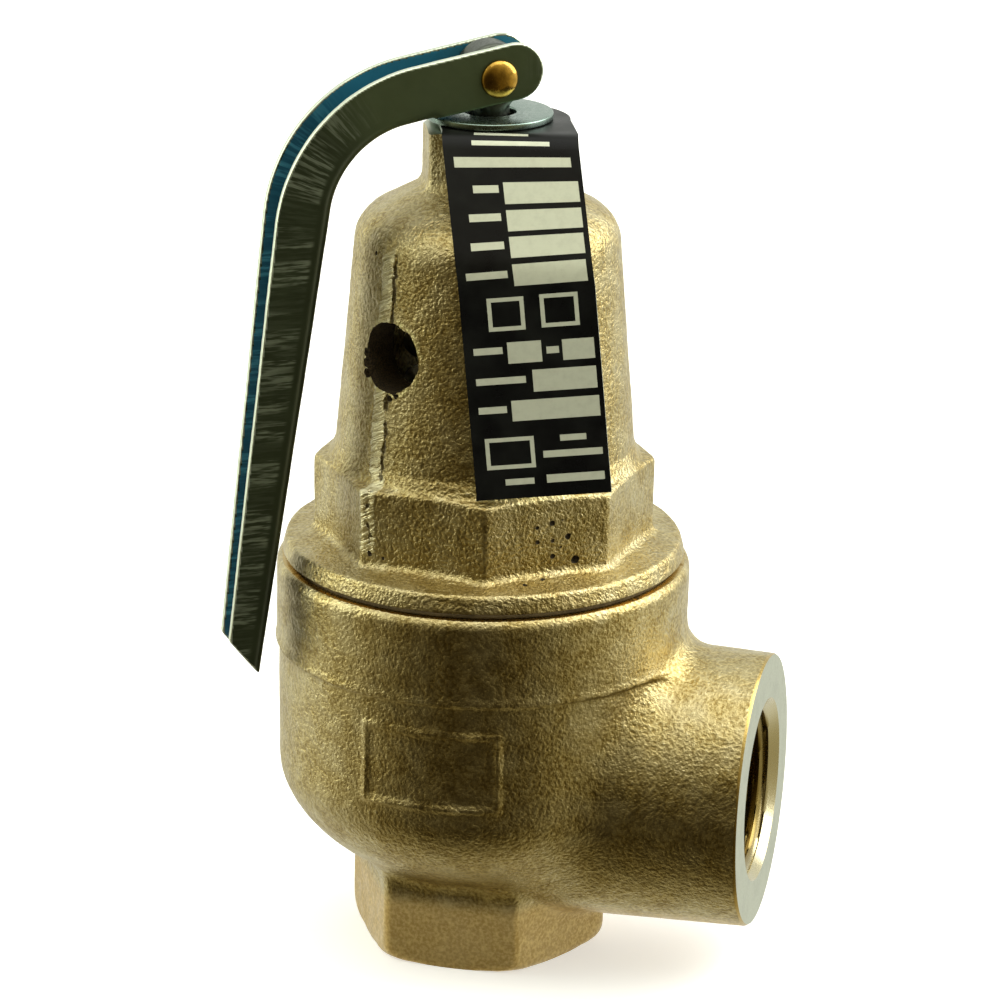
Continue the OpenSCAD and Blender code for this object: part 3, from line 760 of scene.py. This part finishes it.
def pit(name, azimuth, height, radius, size, material, noise):
    """A blowhole: a small rough pocket under the skin."""
    count, rows = 14, []
    spots = np.linspace(0, 2 * math.pi, count, endpoint=False)
    for lift in np.linspace(-0.92, 0.92, 9):
        ring = math.sqrt(1 - lift * lift)
        rows.append(np.stack([size * ring * np.cos(spots), size * ring * np.sin(spots),
                              np.full(count, size * lift)], 1))
    points, faces = turned_mesh(rows, count)
    points *= 1 + 0.28 * noise(points + 9 * radius + height, 0.45)[:, None]
    a = math.radians(azimuth)
    points += (radius * math.cos(a), radius * math.sin(a), height)
    return add_object(name, points, faces, [material])


def vent_cutter(name, turn, material, noise):
    """A drilled vent with a ragged edge."""
    def radius(r, z, angles):
        ring = np.stack([VENT_R * np.cos(angles), VENT_R * np.sin(angles),
                         np.full(angles.shape, 0.6 * z)], 1)
        return r + 0.20 * noise(ring, 1.1) + 0.16 * noise(ring + 40, 0.5)

    profile = [(VENT_R - 0.05, z) for z in np.arange(12.0, 34.1, 0.8)]
    direction = (math.cos(turn), math.sin(turn), 0)
    return lathe(name, profile, [material], columns=96, place=facing(direction, (0, 0, VENT_Z)),
                 radius=radius)


def bonnet_skin(points, normals, noise):
    """Roughens the bonnet, less so inside it and on the ground strip, and cuts its seam."""
    x, y, z = points.T
    as_cast = (np.hypot(x, y) > 16.3) | (z > RIM_Z + 50)
    side = x * math.sin(VENT_TURN) - y * math.cos(VENT_TURN) + 0.3 * noise(points, 4.0)
    outward = x * math.cos(VENT_TURN) + y * math.sin(VENT_TURN)
    front = (outward > 14) & (z > RIM_Z + 8) & (z < RIM_Z + 50)
    strip = front & (side > 0.3) & (side < 2.5)
    amount = np.where(strip, 0.3, np.where(as_cast, 1.0, 0.45))
    seam = 0.16 * front * np.exp(-(side / 0.34) ** 2) * (0.5 + 0.5 * noise(points + 5, 2.0))
    return roughen(points, normals, noise, amount) - normals * seam[:, None]


def bonnet_pits(material, noise):
    """Blowholes: a group on one wrench face, then more at the vent, the tower and the flange."""
    face_r = 23.8
    face = [(-1.6, 11.65, 0.30), (0.8, 12.1, 0.42), (-1.5, 9.4, 0.38), (0.9, 9.4, 0.36),
            (3.3, 9.8, 0.46), (0.9, 7.0, 0.42), (4.5, 6.1, 0.72), (2.4, 12.4, 0.2),
            (-0.2, 10.6, 0.2), (2.2, 8.3, 0.22)]
    spots = [(WRENCH_FACE + math.degrees(math.atan2(across, face_r)), RIM_Z + height,
              math.hypot(across, face_r), size) for across, height, size in face]
    spots += [(-131.6, VENT_Z - 1.8, 20.9, 0.85), (-132.4, VENT_Z - 0.4, 20.8, 0.7),
              (-130.6, VENT_Z - 3.2, 21.0, 0.75), (-116.5, VENT_Z - 6.0, 21.2, 0.55),
              (-113.5, VENT_Z - 5.4, 21.2, 0.45), (-133, VENT_Z + 17.5, 19.3, 0.35),
              (-131, VENT_Z + 14.5, 19.7, 0.35), (-55.2, RIM_Z + 4.25, 24.9, 0.40),
              (-62.2, RIM_Z + 3.9, 26.0, 0.36), (-117.1, RIM_Z + 6.0, 25.3, 0.5),
              (-112.4, RIM_Z + 5.6, 24.7, 0.36)]
    return [pit(f"pit_{i}", *spot, material, noise) for i, spot in enumerate(spots)]


def make_bonnet(looks):
    noise = Noise(19)
    reach = corner("bonnet", 1, 1) + 1.2
    points, quads, normals = field_mesh(bonnet_field, (-reach, -reach, BONNET_FOOT - 1),
                                        (reach, reach, NECK_TOP + 2.5), 0.35)
    bonnet = add_object("bonnet_casting", bonnet_skin(points, normals, noise), quads,
                        [looks["cast_bonnet"]])
    f = FLANGE_Z
    under = [(27.41, f - 6), (34, f - 6), (34, f + 0.15), (30.1, f + 0.15), (29.95, f), (27.41, f)]
    top = [(0, NECK_TOP), (8.9, NECK_TOP), (10.4, NECK_TOP - 1.2), (13, NECK_TOP - 1.2),
           (13, NECK_TOP + 5), (0, NECK_TOP + 5)]
    carve(bonnet, [
        lathe("cut_under", under, [looks["bright_rim"]], loop=True),
        plug("cut_top", top, looks["machined_face"]),
        vent_cutter("cut_vent_front", VENT_TURN, looks["pit"], noise),
        vent_cutter("cut_vent_back", VENT_TURN + math.pi, looks["pit"], noise),
        *bonnet_pits(looks["pit"], noise),
    ])
    return fit(bonnet, 46, "bonnet", "valve")


# ---- lever, pin and washer

TOP_SLOPE = 11.5
WEB_START = 10.3
ARM_FOOT = 89.0
EDGE_FOOT = 83.4
EDGE_BEND = (8.4, -22.3)
EDGE_BEND_R = 25
SHEET = 1.15
LEVER_W = 8.2


def web_path(shift):
    bend = arc(11, -20, 14 + shift, 90 - TOP_SLOPE, 8.5, 24)
    start, foot = bend[0], bend[-1]
    drop = ARM_FOOT + foot[1]
    rise = (start[0] - WEB_START + 0.5) * math.tan(math.radians(TOP_SLOPE))
    return ([(WEB_START - 0.5, start[1] + rise)] + bend
            + [(foot[0] + drop * math.tan(math.radians(8.5)), -ARM_FOOT)])


def free_edge():
    bend = arc(*EDGE_BEND, EDGE_BEND_R, 90 - TOP_SLOPE, 6.3, 30)
    foot = bend[-1]
    drop = EDGE_FOOT + foot[1]
    return (arc(-2.6, 0.85, 4.2, 262, 90 - TOP_SLOPE, 24) + bend
            + [(foot[0] + drop * math.tan(math.radians(6.3)), -EDGE_FOOT)])


def lever_side():
    """Outline of the lever's cheeks."""
    return free_edge() + web_path(0)[::-1] + [(9.2, -5.36)]


def lever_width(z, inset=0.0):
    """Half the lever's width, which narrows towards its foot."""
    t = np.clip((-8 - z) / (ARM_FOOT - 8), 0, 1)
    return LEVER_W / 2 + (2.65 - LEVER_W / 2) * t - inset


def lever_field(x, y, z):
    inner, hollow = web_path(0), web_path(SHEET)
    side = outline_distance(x, z, lever_side())
    frame_points = [(WEB_START - 0.5, -20), (-20, -20), (-20, 20), (70, 20), (70, -110)]
    web = outline_distance(x, z, frame_points + [(inner[-1][0], -110)] + inner[::-1])
    gap = outline_distance(x, z, frame_points + [(hollow[-1][0], -110)] + hollow[::-1])
    tip = outline_distance(x, z, [(-30, -89), (35.9, -89), (35.9 + 35.6, -89 + 48.3), (80, 40),
                                  (-30, 40)])
    d = both(web, np.abs(y) - lever_width(z), 1.6)
    d = both(both(d, side, 0.28), tip, 0.28)
    room = both(gap, np.abs(y) - lever_width(z, SHEET), 0.9)
    d = both(d, -room, 0.22)
    hole = np.hypot(x, z) - 1.6
    return np.maximum(d, -hole)


def lever_placement():
    return Matrix.Translation((0, 0, PIN_Z)) @ Matrix.Rotation(LEVER_TURN, 4, "Z")


def placed(points, matrix):
    return points @ np.array(matrix.to_3x3()).T + np.array(matrix.translation)


def web_distance(x, z):
    """How far points lie from the back of the web, which runs on straight past the pin."""
    start_x, start_z = web_path(0)[0]
    above = (-30, start_z + (start_x + 30) * math.tan(math.radians(TOP_SLOPE)))
    return np.abs(outline_distance(x, z, [(70, 20), (70, -110), (web_path(0)[-1][0], -110)]
                                   + web_path(0)[::-1] + [above, (-30, 20)]))


def lever_marks(x, z, normals):
    """Each point's place on the lever, how streaked and bare the plating is there, and how dark it
    turns past the painted sheen by the pin; bare also carries a painted highlight along the web bend.
    """
    bend_x, bend_z = EDGE_BEND
    angle = np.degrees(np.arctan2(z - bend_z, x - bend_x))
    on_leg = z < bend_z
    on_arm = np.where(x < bend_x, bend_x - x, EDGE_BEND_R * np.radians(90 - angle))
    along = np.where(on_leg, 39.3 - z + bend_z, on_arm)
    across = np.where(z > bend_z, np.hypot(x - bend_x, z - bend_z), x)
    to_web = web_distance(x, z)
    to_edge = np.abs(outline_distance(x, z, lever_side()))
    out_of_plane = np.abs(normals[:, 1])
    # painted sheen: the plating stays lighter within 12 mm of the pin and darkens past it
    dark = np.clip((along - 12) / 10, 0, 1)
    streaky = dark * np.clip((to_web - 2.0) / 0.5, 0, 1)
    bare = (np.clip(1.6 - to_edge / 0.25, 0, 1) * np.clip((0.97 - out_of_plane) / 0.1, 0, 1)
            * np.clip((to_web - 0.9) / 0.3, 0, 1))
    # painted highlight: a pale line along the web bend, merged into bare
    bend_highlight = 0.10 * dark * np.exp(-((to_web - 1.1) / 0.22) ** 2) * (out_of_plane > 0.3)
    return {"along": along, "across": across, "streaky": streaky, "dark": dark,
            "bare": np.maximum(bare, bend_highlight)}


def make_lever(looks):
    noise = Noise(23)
    points, quads, normals = field_mesh(lever_field, (-8, -4.9, -90.2), (42, 4.9, 7), 0.22)
    marks = lever_marks(points[:, 0], points[:, 2], normals)
    points = points + normals * (0.02 * noise(points, 1.5) + 0.05 * noise(points, 9.0))[:, None]
    x, y, z = points[quads].mean(1).T
    web = np.where(x < WEB_START, 9.0, web_distance(x, z))
    inner = ((np.abs(y) < lever_width(z) - 0.6 * SHEET) & (web > 0.6)
             & (outline_distance(x, z, lever_side()) < -0.3))
    lever = add_object("lever_channel", placed(points, lever_placement()), quads,
                       [looks["plating"], looks["plating_inside"]], inner)
    for name, values in marks.items():
        layer = lever.data.attributes.new(name, "FLOAT", "POINT")
        layer.data.foreach_set("value", values.astype(np.float32))
    return fit(lever, 50, "lever", "lever")


def make_pin(looks):
    reach, head_r, head_h = 4.12, 2.8, 1.3
    dome = [(max(head_r * math.cos(a), 0.02), reach + 0.14 + (head_h - 0.14) * math.sin(a))
            for a in np.radians(np.linspace(0, 88, 16))]
    half = [(1.55, 0.0), (1.6, reach), (head_r - 0.12, reach), (head_r, reach + 0.06)] + dome
    profile = [(r, -z) for r, z in half[:0:-1]] + half
    place = lever_placement() @ Matrix.Rotation(math.radians(90), 4, "X")
    pin = lathe("lever_rivet", profile, [looks["rivet"]], columns=96, place=place)
    return fit(pin, 40, "lever_pin", "lever")


def make_washer(looks):
    hole_r, low, high, round_r = STEM_R + 1, WASHER_Z, WASHER_TOP, 0.22
    outer = (arc(WASHER_R - round_r, low + round_r, round_r, -90, 0, 4)
             + arc(WASHER_R - round_r, high - round_r, round_r, 0, 90, 4))
    inner = arc(hole_r + round_r, high - round_r, round_r, 90, 180, 4) \
        + arc(hole_r + round_r, low + round_r, round_r, 180, 270, 4)
    washer = lathe("lever_washer_disc", outer + inner, [looks["washer"]], loop=True, columns=160)
    return fit(washer, 45, "lever_washer", "swivel")


def stem_field(x, y, z):
    eye_t = (LEVER_W - 2 * SHEET - 0.6) / 2
    up = z - PIN_Z
    r = np.hypot(x, y)
    rod = both(r - STEM_R, np.maximum(STEM_FOOT - z, z - PIN_Z + 1), 0.3)
    groove = np.maximum(STEM_R - 0.6 - r, np.maximum(CLIP_Z - 0.05 - z, z - CLIP_Z - 1.25))
    rod = np.maximum(rod, -groove)
    eye = both(np.hypot(x, up) - 4.8, np.abs(y) - eye_t, 0.9)
    eye = both(eye, np.maximum(-5.1 - up, r - 5.2), 0.5)
    d = join(rod, eye, 0.8)
    return np.maximum(d, 1.66 - np.hypot(x, up))


def make_stem(looks):
    points, quads, normals = field_mesh(stem_field, (-5.9, -5.9, STEM_FOOT - 0.6),
                                        (5.9, 5.9, PIN_Z + 5.6), 0.26)
    points += normals * (0.012 * Noise(3)(points, 0.8))[:, None]
    turn = Matrix.Rotation(LEVER_TURN, 4, "Z")
    stem = add_object("stem_rod", placed(points, turn), quads, [looks["stem"]])
    return fit(stem, 45, "stem", "stem")


def make_spring(looks):
    """Round wire wound with a closed, ground coil at each end."""
    wire, coil, coils, per_turn, sides = 1.7, 10.6, 7, 60, 20
    closed = 2 * wire + 0.05
    free = SPRING_TOP - SPRING_FOOT - 2 * wire - 2 * closed - 0.02
    turns = np.linspace(0, coils, coils * per_turn + 1)
    heights = (SPRING_FOOT + wire + 0.01 + closed * np.minimum(turns, 1)
               + free / (coils - 2) * np.clip(turns - 1, 0, coils - 2)
               + closed * np.clip(turns - coils + 1, 0, 1))
    around = np.linspace(2 * math.pi, 0, sides, endpoint=False)
    rows = []
    for t, h in zip(turns, heights):
        a = 2 * math.pi * t
        r = coil + wire * np.cos(around)
        z = np.clip(h + wire * np.sin(around), SPRING_FOOT, SPRING_TOP)
        rows.append(np.stack([r * math.cos(a), r * math.sin(a), z], 1))
    points, faces = turned_mesh(rows, sides)
    spring = add_object("spring_coil", points, faces, [looks["spring"]])
    fit(spring, 50, "spring", "valve")
    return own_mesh(spring)


# ---- name tag

TAG_Z = WASHER_Z - 0.3
TAG_END_X = 23.9
TAG_END_Z = TAG_Z - 49.6
TAG_HALF = 9.8
TAG_T = 0.5
SLANT, HANG = 31.5, 4.5


def tag_line():
    """The tag's bent middle line from its back over both bends to below its foot, as (out, up)."""
    slant, hang = math.radians(SLANT), math.radians(HANG)
    top_r, top_x, low_r = 3.0, 9.0, 10.0
    turned = (top_x + top_r * math.cos(slant), TAG_Z - top_r * (1 - math.sin(slant)))
    meet_z = ((turned[0] + math.tan(slant) * turned[1] - TAG_END_X - math.tan(hang) * TAG_END_Z)
              / (math.tan(slant) - math.tan(hang)))
    meet_x = TAG_END_X - math.tan(hang) * (meet_z - TAG_END_Z)
    back = low_r * math.tan((slant - hang) / 2)
    centre = (meet_x - back * math.sin(slant) - low_r * math.cos(slant),
              meet_z + back * math.cos(slant) - low_r * math.sin(slant))
    return np.array([(-12, TAG_Z)] + arc(top_x, TAG_Z - top_r, top_r, 90, SLANT, 24)
                    + arc(*centre, low_r, SLANT, HANG, 24)
                    + [(TAG_END_X + 8 * math.tan(hang), TAG_END_Z - 8)])


TAG_LINE = tag_line()
TAG_LENGTHS = np.r_[0, np.cumsum(np.hypot(*np.diff(TAG_LINE, axis=0).T))]
TAG_FOOT = np.interp(-TAG_END_Z, -TAG_LINE[:, 1], TAG_LENGTHS)
TAG_LEAN = math.atan((10.27 - 7) / (TAG_Z - 18.7 - TAG_END_Z))


def tag_middle(at):
    """The tag's middle line at lengths from its back, as rows of out and up."""
    return np.array([np.interp(at, TAG_LENGTHS, side) for side in TAG_LINE.T])


def tag_points(across, rise, shift):
    """Points of the tag: across it, up it from its foot, and out from its middle."""
    at = TAG_FOOT - rise - across * math.tan(TAG_LEAN) * np.clip(3 - rise / 18, 0, 1)
    out, up = tag_middle(at)
    slope_x, slope_z = tag_middle(at + 0.02) - tag_middle(at - 0.02)
    size = np.maximum(np.hypot(slope_x, slope_z), 1e-9)
    y = np.interp(up, [TAG_END_Z, TAG_Z - 18.7, TAG_Z], [10.27, 7.0, 3.6])
    y = y - 1.6 * np.clip((9 - out) / 9, 0, 1) + across * tag_width(out)
    x = out - shift * slope_z / size
    z = up + shift * slope_x / size
    a = TAG_TURN
    return np.stack([x * math.cos(a) - y * math.sin(a), x * math.sin(a) + y * math.cos(a), z], -1)


def tag_width(out):
    """Share of the full width that the tag's round back keeps."""
    return np.sqrt(np.clip(1 - (np.minimum(out, 0) / TAG_HALF) ** 2, 1e-4, 1))


def tag_print():
    """Bare metal fields of the tag as (left, right, low, high), measured from its middle and foot."""
    fields = [(-1.7, 9.1, 42.6, 45.8), (-1.7, 9.1, 38.6, 41.7), (-1.7, 9.0, 34.7, 37.8),
              (-1.7, 8.9, 30.8, 33.8), (-3.5, 1.4, 19.7, 22.8), (4.4, 9.0, 19.7, 22.7),
              (-0.2, 9.0, 15.4, 18.6), (-3.6, 9.1, 11.3, 14.3)]
    bars = [(-6.1, -2.4, 44.3, 45.4), (-7.1, -2.5, 40.2, 41.3), (-7.3, -2.5, 36.1, 37.2),
            (-8.5, -2.5, 32.0, 33.0), (-8.4, -4.2, 21.2, 22.2), (2.1, 3.9, 20.8, 21.8),
            (-8.4, -1.2, 16.8, 17.8), (-8.4, -4.3, 12.6, 13.6), (-8.4, 8.4, 48.0, 49.5),
            (-5.6, 5.6, 51.2, 51.9), (-5.2, 2.6, 52.9, 53.5), (3.0, 6.8, 8.0, 8.9),
            (0.4, 9.0, 5.7, 6.7), (0.6, 9.0, 2.0, 3.2), (-5.4, -1.2, 2.0, 2.9)]
    for left, right, low, high in ((-5.9, -0.6, 24.5, 29.3), (1.7, 7.2, 24.6, 29.4),
                                   (-7.9, -0.8, 4.4, 9.0)):
        line = 0.6
        bars += [(left, right, low, low + line), (left, right, high - line, high),
                 (left, left + line, low + line, high - line),
                 (right - line, right, low + line, high - line)]
    return fields + bars


def fill_gaps(lines, widest):
    """The lines in order, with more between them so that no gap is wider than asked."""
    lines = sorted(set(round(v, 4) for v in lines))
    out = [lines[0]]
    for v in lines[1:]:
        parts = max(1, math.ceil((v - out[-1]) / widest))
        first = out[-1]
        out += [first + (v - first) * i / parts for i in range(1, parts + 1)]
    return np.array(out)


def make_tag(looks):
    prints = tag_print()
    length = TAG_FOOT + TAG_LINE[0][0] + TAG_HALF
    columns = fill_gaps([v for f in prints for v in f[:2]] + [-TAG_HALF, TAG_HALF], 0.8)
    rows = fill_gaps([v for f in prints for v in f[2:]] + [0, 1, length - 0.6, length], 0.8)
    across, rise = np.meshgrid(columns, rows)
    sheets = [tag_points(across.ravel(), rise.ravel(), s) for s in (TAG_T / 2, -TAG_T / 2)]
    at = np.arange(across.size).reshape(across.shape)
    front = np.stack([at[:-1, :-1], at[:-1, 1:], at[1:, 1:], at[1:, :-1]], -1).reshape(-1, 4)
    border = np.r_[at[0], at[1:, -1], at[-1, -2::-1], at[-2:0:-1, 0]]
    onward = np.roll(border, -1)
    edge = np.stack([onward, border, border + at.size, onward + at.size], 1)
    faces = np.vstack([front, front[:, ::-1] + at.size, edge])
    u, v = np.meshgrid((columns[1:] + columns[:-1]) / 2, (rows[1:] + rows[:-1]) / 2)
    bare = np.zeros(u.shape, bool)
    for left, right, low, high in prints:
        bare |= (left < u) & (u < right) & (low < v) & (v < high)
    slots = np.r_[bare.ravel(), np.full(len(faces) - len(front), 2)]
    tag = add_object("name_tag_sheet", np.vstack(sheets), faces,
                     [looks["tag_black"], looks["tag_silver"], looks["tag_edge"]], slots)
    hole_at = Matrix.Rotation(TAG_TURN, 4, "Z") @ Vector((0, 2, 0))
    hole = lathe("cut_tag", [(5, TAG_Z - 5), (5, TAG_Z + 5)], [looks["tag_edge"]],
                 place=Matrix.Translation(hole_at))
    carve(tag, [hole])
    return fit(tag, 40, "name_tag", "tag")


# ---- carried-over parts

def dress(node, look):
    """Gives a CAD part its material, welded and lightly bevelled for show."""
    obj = frame["nodes"][node]
    if not obj.material_slots:
        obj.data.materials.append(look)
    for held in obj.material_slots:
        held.material = look
    weld = obj.modifiers.new("weld", "WELD")
    weld.merge_threshold = 1e-5
    bevel = obj.modifiers.new("bevel", "BEVEL")
    bevel.width = 0.12 * MM
    bevel.segments = 2
    bevel.limit_method = "ANGLE"
    bevel.angle_limit = math.radians(40)


# ---- studio

TARGET = Vector((2.330, 0.580, RIM_Z + 8.292)) * MM
AZIMUTH, ELEVATION, ROLL = 13.97, 18.645, 0.929
DISTANCE, LENS = 0.61123, 146.39


def direction_to(azimuth, elevation):
    a, e = math.radians(azimuth), math.radians(elevation)
    return Vector((math.sin(a) * math.cos(e), -math.cos(a) * math.cos(e), math.sin(e)))


def make_camera():
    back = direction_to(AZIMUTH, ELEVATION)
    right = Vector((0, 0, 1)).cross(back).normalized()
    up = back.cross(right)
    roll = math.radians(ROLL)
    right, up = (right * math.cos(roll) + up * math.sin(roll),
                 up * math.cos(roll) - right * math.sin(roll))
    data = bpy.data.cameras.new("camera")
    data.lens, data.sensor_width = LENS, 36
    data.clip_start, data.clip_end = 0.01, 20
    camera = bpy.data.objects.new("camera", data)
    turn = Matrix((right, up, back)).transposed().to_4x4()
    camera.matrix_world = Matrix.Translation(TARGET + back * DISTANCE) @ turn
    bpy.context.scene.collection.objects.link(camera)
    bpy.context.scene.camera = camera


def area_light(name, azimuth, elevation, distance, size, power, colour):
    data = bpy.data.lights.new(name, "AREA")
    data.shape = "RECTANGLE"
    data.size, data.size_y = size
    data.energy = power
    data.color = colour
    lamp = bpy.data.objects.new(name, data)
    way = direction_to(azimuth, elevation)
    lamp.matrix_world = (Matrix.Translation(TARGET + way * distance)
                         @ way.to_track_quat("Z", "Y").to_matrix().to_4x4())
    bpy.context.scene.collection.objects.link(lamp)


def make_world():
    """White surroundings that darken towards the camera, as in a light tent with an open front."""
    world = bpy.data.worlds.new("studio")
    bpy.context.scene.world = world
    world.use_nodes = True
    tree = world.node_tree
    tree.nodes.clear()
    way = add_node(tree, "TexCoord").outputs["Generated"]
    dot = add_node(tree, "VectorMath", {0: way, 1: direction_to(AZIMUTH - 8, -22)},
                   operation="DOT_PRODUCT")
    spread = add_node(tree, "MapRange", {"Value": dot.outputs["Value"], "From Min": -1})
    ramp = add_node(tree, "ValToRGB", {0: spread.outputs[0]})
    ramp.color_ramp.interpolation = "EASE"
    elements = ramp.color_ramp.elements
    stops = [(0.0, (0.95, 0.97, 0.90)), (0.46, (0.90, 0.90, 0.78)), (0.66, (0.53, 0.47, 0.27)),
             (0.84, (0.17, 0.136, 0.058)), (0.94, (0.050, 0.038, 0.018)),
             (1.0, (0.035, 0.026, 0.012))]
    for position, _ in stops[1:-1]:
        elements.new(position)
    for element, (_, colour) in zip(elements, stops):
        element.color = (*colour, 1)
    lit = add_node(tree, "Background", {"Color": ramp.outputs[0]})
    seen = add_node(tree, "Background", {"Color": (1, 1, 1, 1)})
    camera_ray = add_node(tree, "LightPath").outputs["Is Camera Ray"]
    mix = add_node(tree, "MixShader", {0: camera_ray, 1: lit.outputs[0], 2: seen.outputs[0]})
    add_node(tree, "OutputWorld", {"Surface": mix.outputs[0]})


def make_floor():
    """A pale round table top under the valve."""
    radius, below = 3000, -0.05
    angles = np.linspace(0, 2 * math.pi, 96, endpoint=False)
    rim = [(radius * math.cos(a), radius * math.sin(a), below) for a in angles]
    look = Look("floor_pale")
    tone = look.range(look.noise(60.0, 2.0), 0.3, 0.7)
    glow = {"Base Color": look.blend(tone, (0.78, 0.78, 0.77), (0.80, 0.80, 0.79)),
            "Roughness": 0.9, "Emission Color": (1, 1, 0.99, 1), "Emission Strength": 0.52}
    for name, value in glow.items():
        wire(look.tree, look.shader.inputs[name], value)
    floor = add_object("floor", rim, [tuple(range(96))], [look.material])
    floor.visible_glossy = False


# ---- the scene

def make_looks():
    brass = (0.66, 0.50, 0.20)
    return {
        "cast_body": cast_bronze("bronze_cast_body", 0.15, hexagon=True),
        "cast_bonnet": cast_bronze("bronze_cast_bonnet", 0.22, seams=True),
        "machined_face": machined("bronze_machined", (0.48, 0.50, 0.39), 0.34),
        "bright_rim": machined("bronze_rim", (0.50, 0.36, 0.12), 0.26),
        "bore": bore_metal("bronze_bore"),
        "pit": pit_painted_shade("casting_pit_shade"),
        "plating": lever_plating("lever_plating", (0.080, 0.105, 0.050), (0.22, 0.26, 0.19)),
        # inside faces take a teal-blue copy of the plating: partly its own tint, partly a painted
        # reflection seen inside the channel
        "plating_inside": lever_plating("lever_plating_inside", (0.030, 0.190, 0.290),
                                        (0.07, 0.26, 0.33), 0.25),
        "rivet": plated_steel("rivet_brass", (0.60, 0.36, 0.07), 0.16, 0.5, 0.8),
        "washer": plated_steel("washer_zinc", (0.25, 0.33, 0.29), 0.26, 0.5, 0.1),
        # painted shade: the stem's tint is darkened for the shadow it sits in
        "stem": plated_steel("stem_steel", (0.10, 0.11, 0.09), 0.34, 0.4, 0.4),
        "spring": plated_steel("spring_steel", (0.36, 0.36, 0.36), 0.38, 0.3, 0.6),
        "tag_black": tag_black("tag_black"),
        "tag_silver": tag_silver("tag_silver"),
        "tag_edge": plated_steel("tag_bare_metal", (0.60, 0.66, 0.58), 0.42, 0.3, 0.5),
        "turned": turned("brass_turned", brass),
        "nut": turned("brass_nut", (0.60, 0.45, 0.18), 0.28, 0.2),
        "steel": turned("steel_turned", (0.55, 0.56, 0.57), 0.27, 0.2),
        "clip": plated_steel("clip_steel", (0.20, 0.20, 0.21), 0.4, 0.3, 0.5),
        "gasket": moulded("gasket_fibre", (0.085, 0.060, 0.022), 0.8, 0.25),
        "rubber": moulded("seal_rubber", (0.012, 0.012, 0.013), 0.45),
        "plastic": moulded("seat_plastic", (0.74, 0.72, 0.66), 0.40, 0.05),
    }


looks = make_looks()
make_body(looks)
make_bonnet(looks)
make_lever(looks)
make_pin(looks)
make_washer(looks)
make_stem(looks)
make_spring(looks)
make_tag(looks)

for node, look in (("bonnet_gasket", "gasket"), ("guide_bush", "turned"), ("lock_nut", "nut"),
                   ("spring_button", "turned"), ("adjusting_screw", "turned"),
                   ("stem_clip", "clip"), ("disc_holder", "turned"), ("seat_disc", "plastic"),
                   ("disc_retainer", "steel"), ("disc_screw", "steel"),
                   ("o_ring_lower", "rubber"), ("o_ring_upper", "rubber"),
                   ("spring_seat", "turned")):
    dress(node, looks[look])

make_world()
make_floor()
make_camera()
area_light("key_right", AZIMUTH + 100, 34, 0.9, (0.7, 0.9), 8.5, (1.0, 1.0, 0.97))
area_light("fill_left", AZIMUTH - 98, 20, 0.9, (0.5, 0.9), 4, (0.94, 1.0, 0.88))
area_light("top", AZIMUTH + 20, 82, 0.9, (0.9, 0.9), 3.5, (1.0, 1.0, 0.97))
bpy.context.scene.view_settings.view_transform = "Standard"
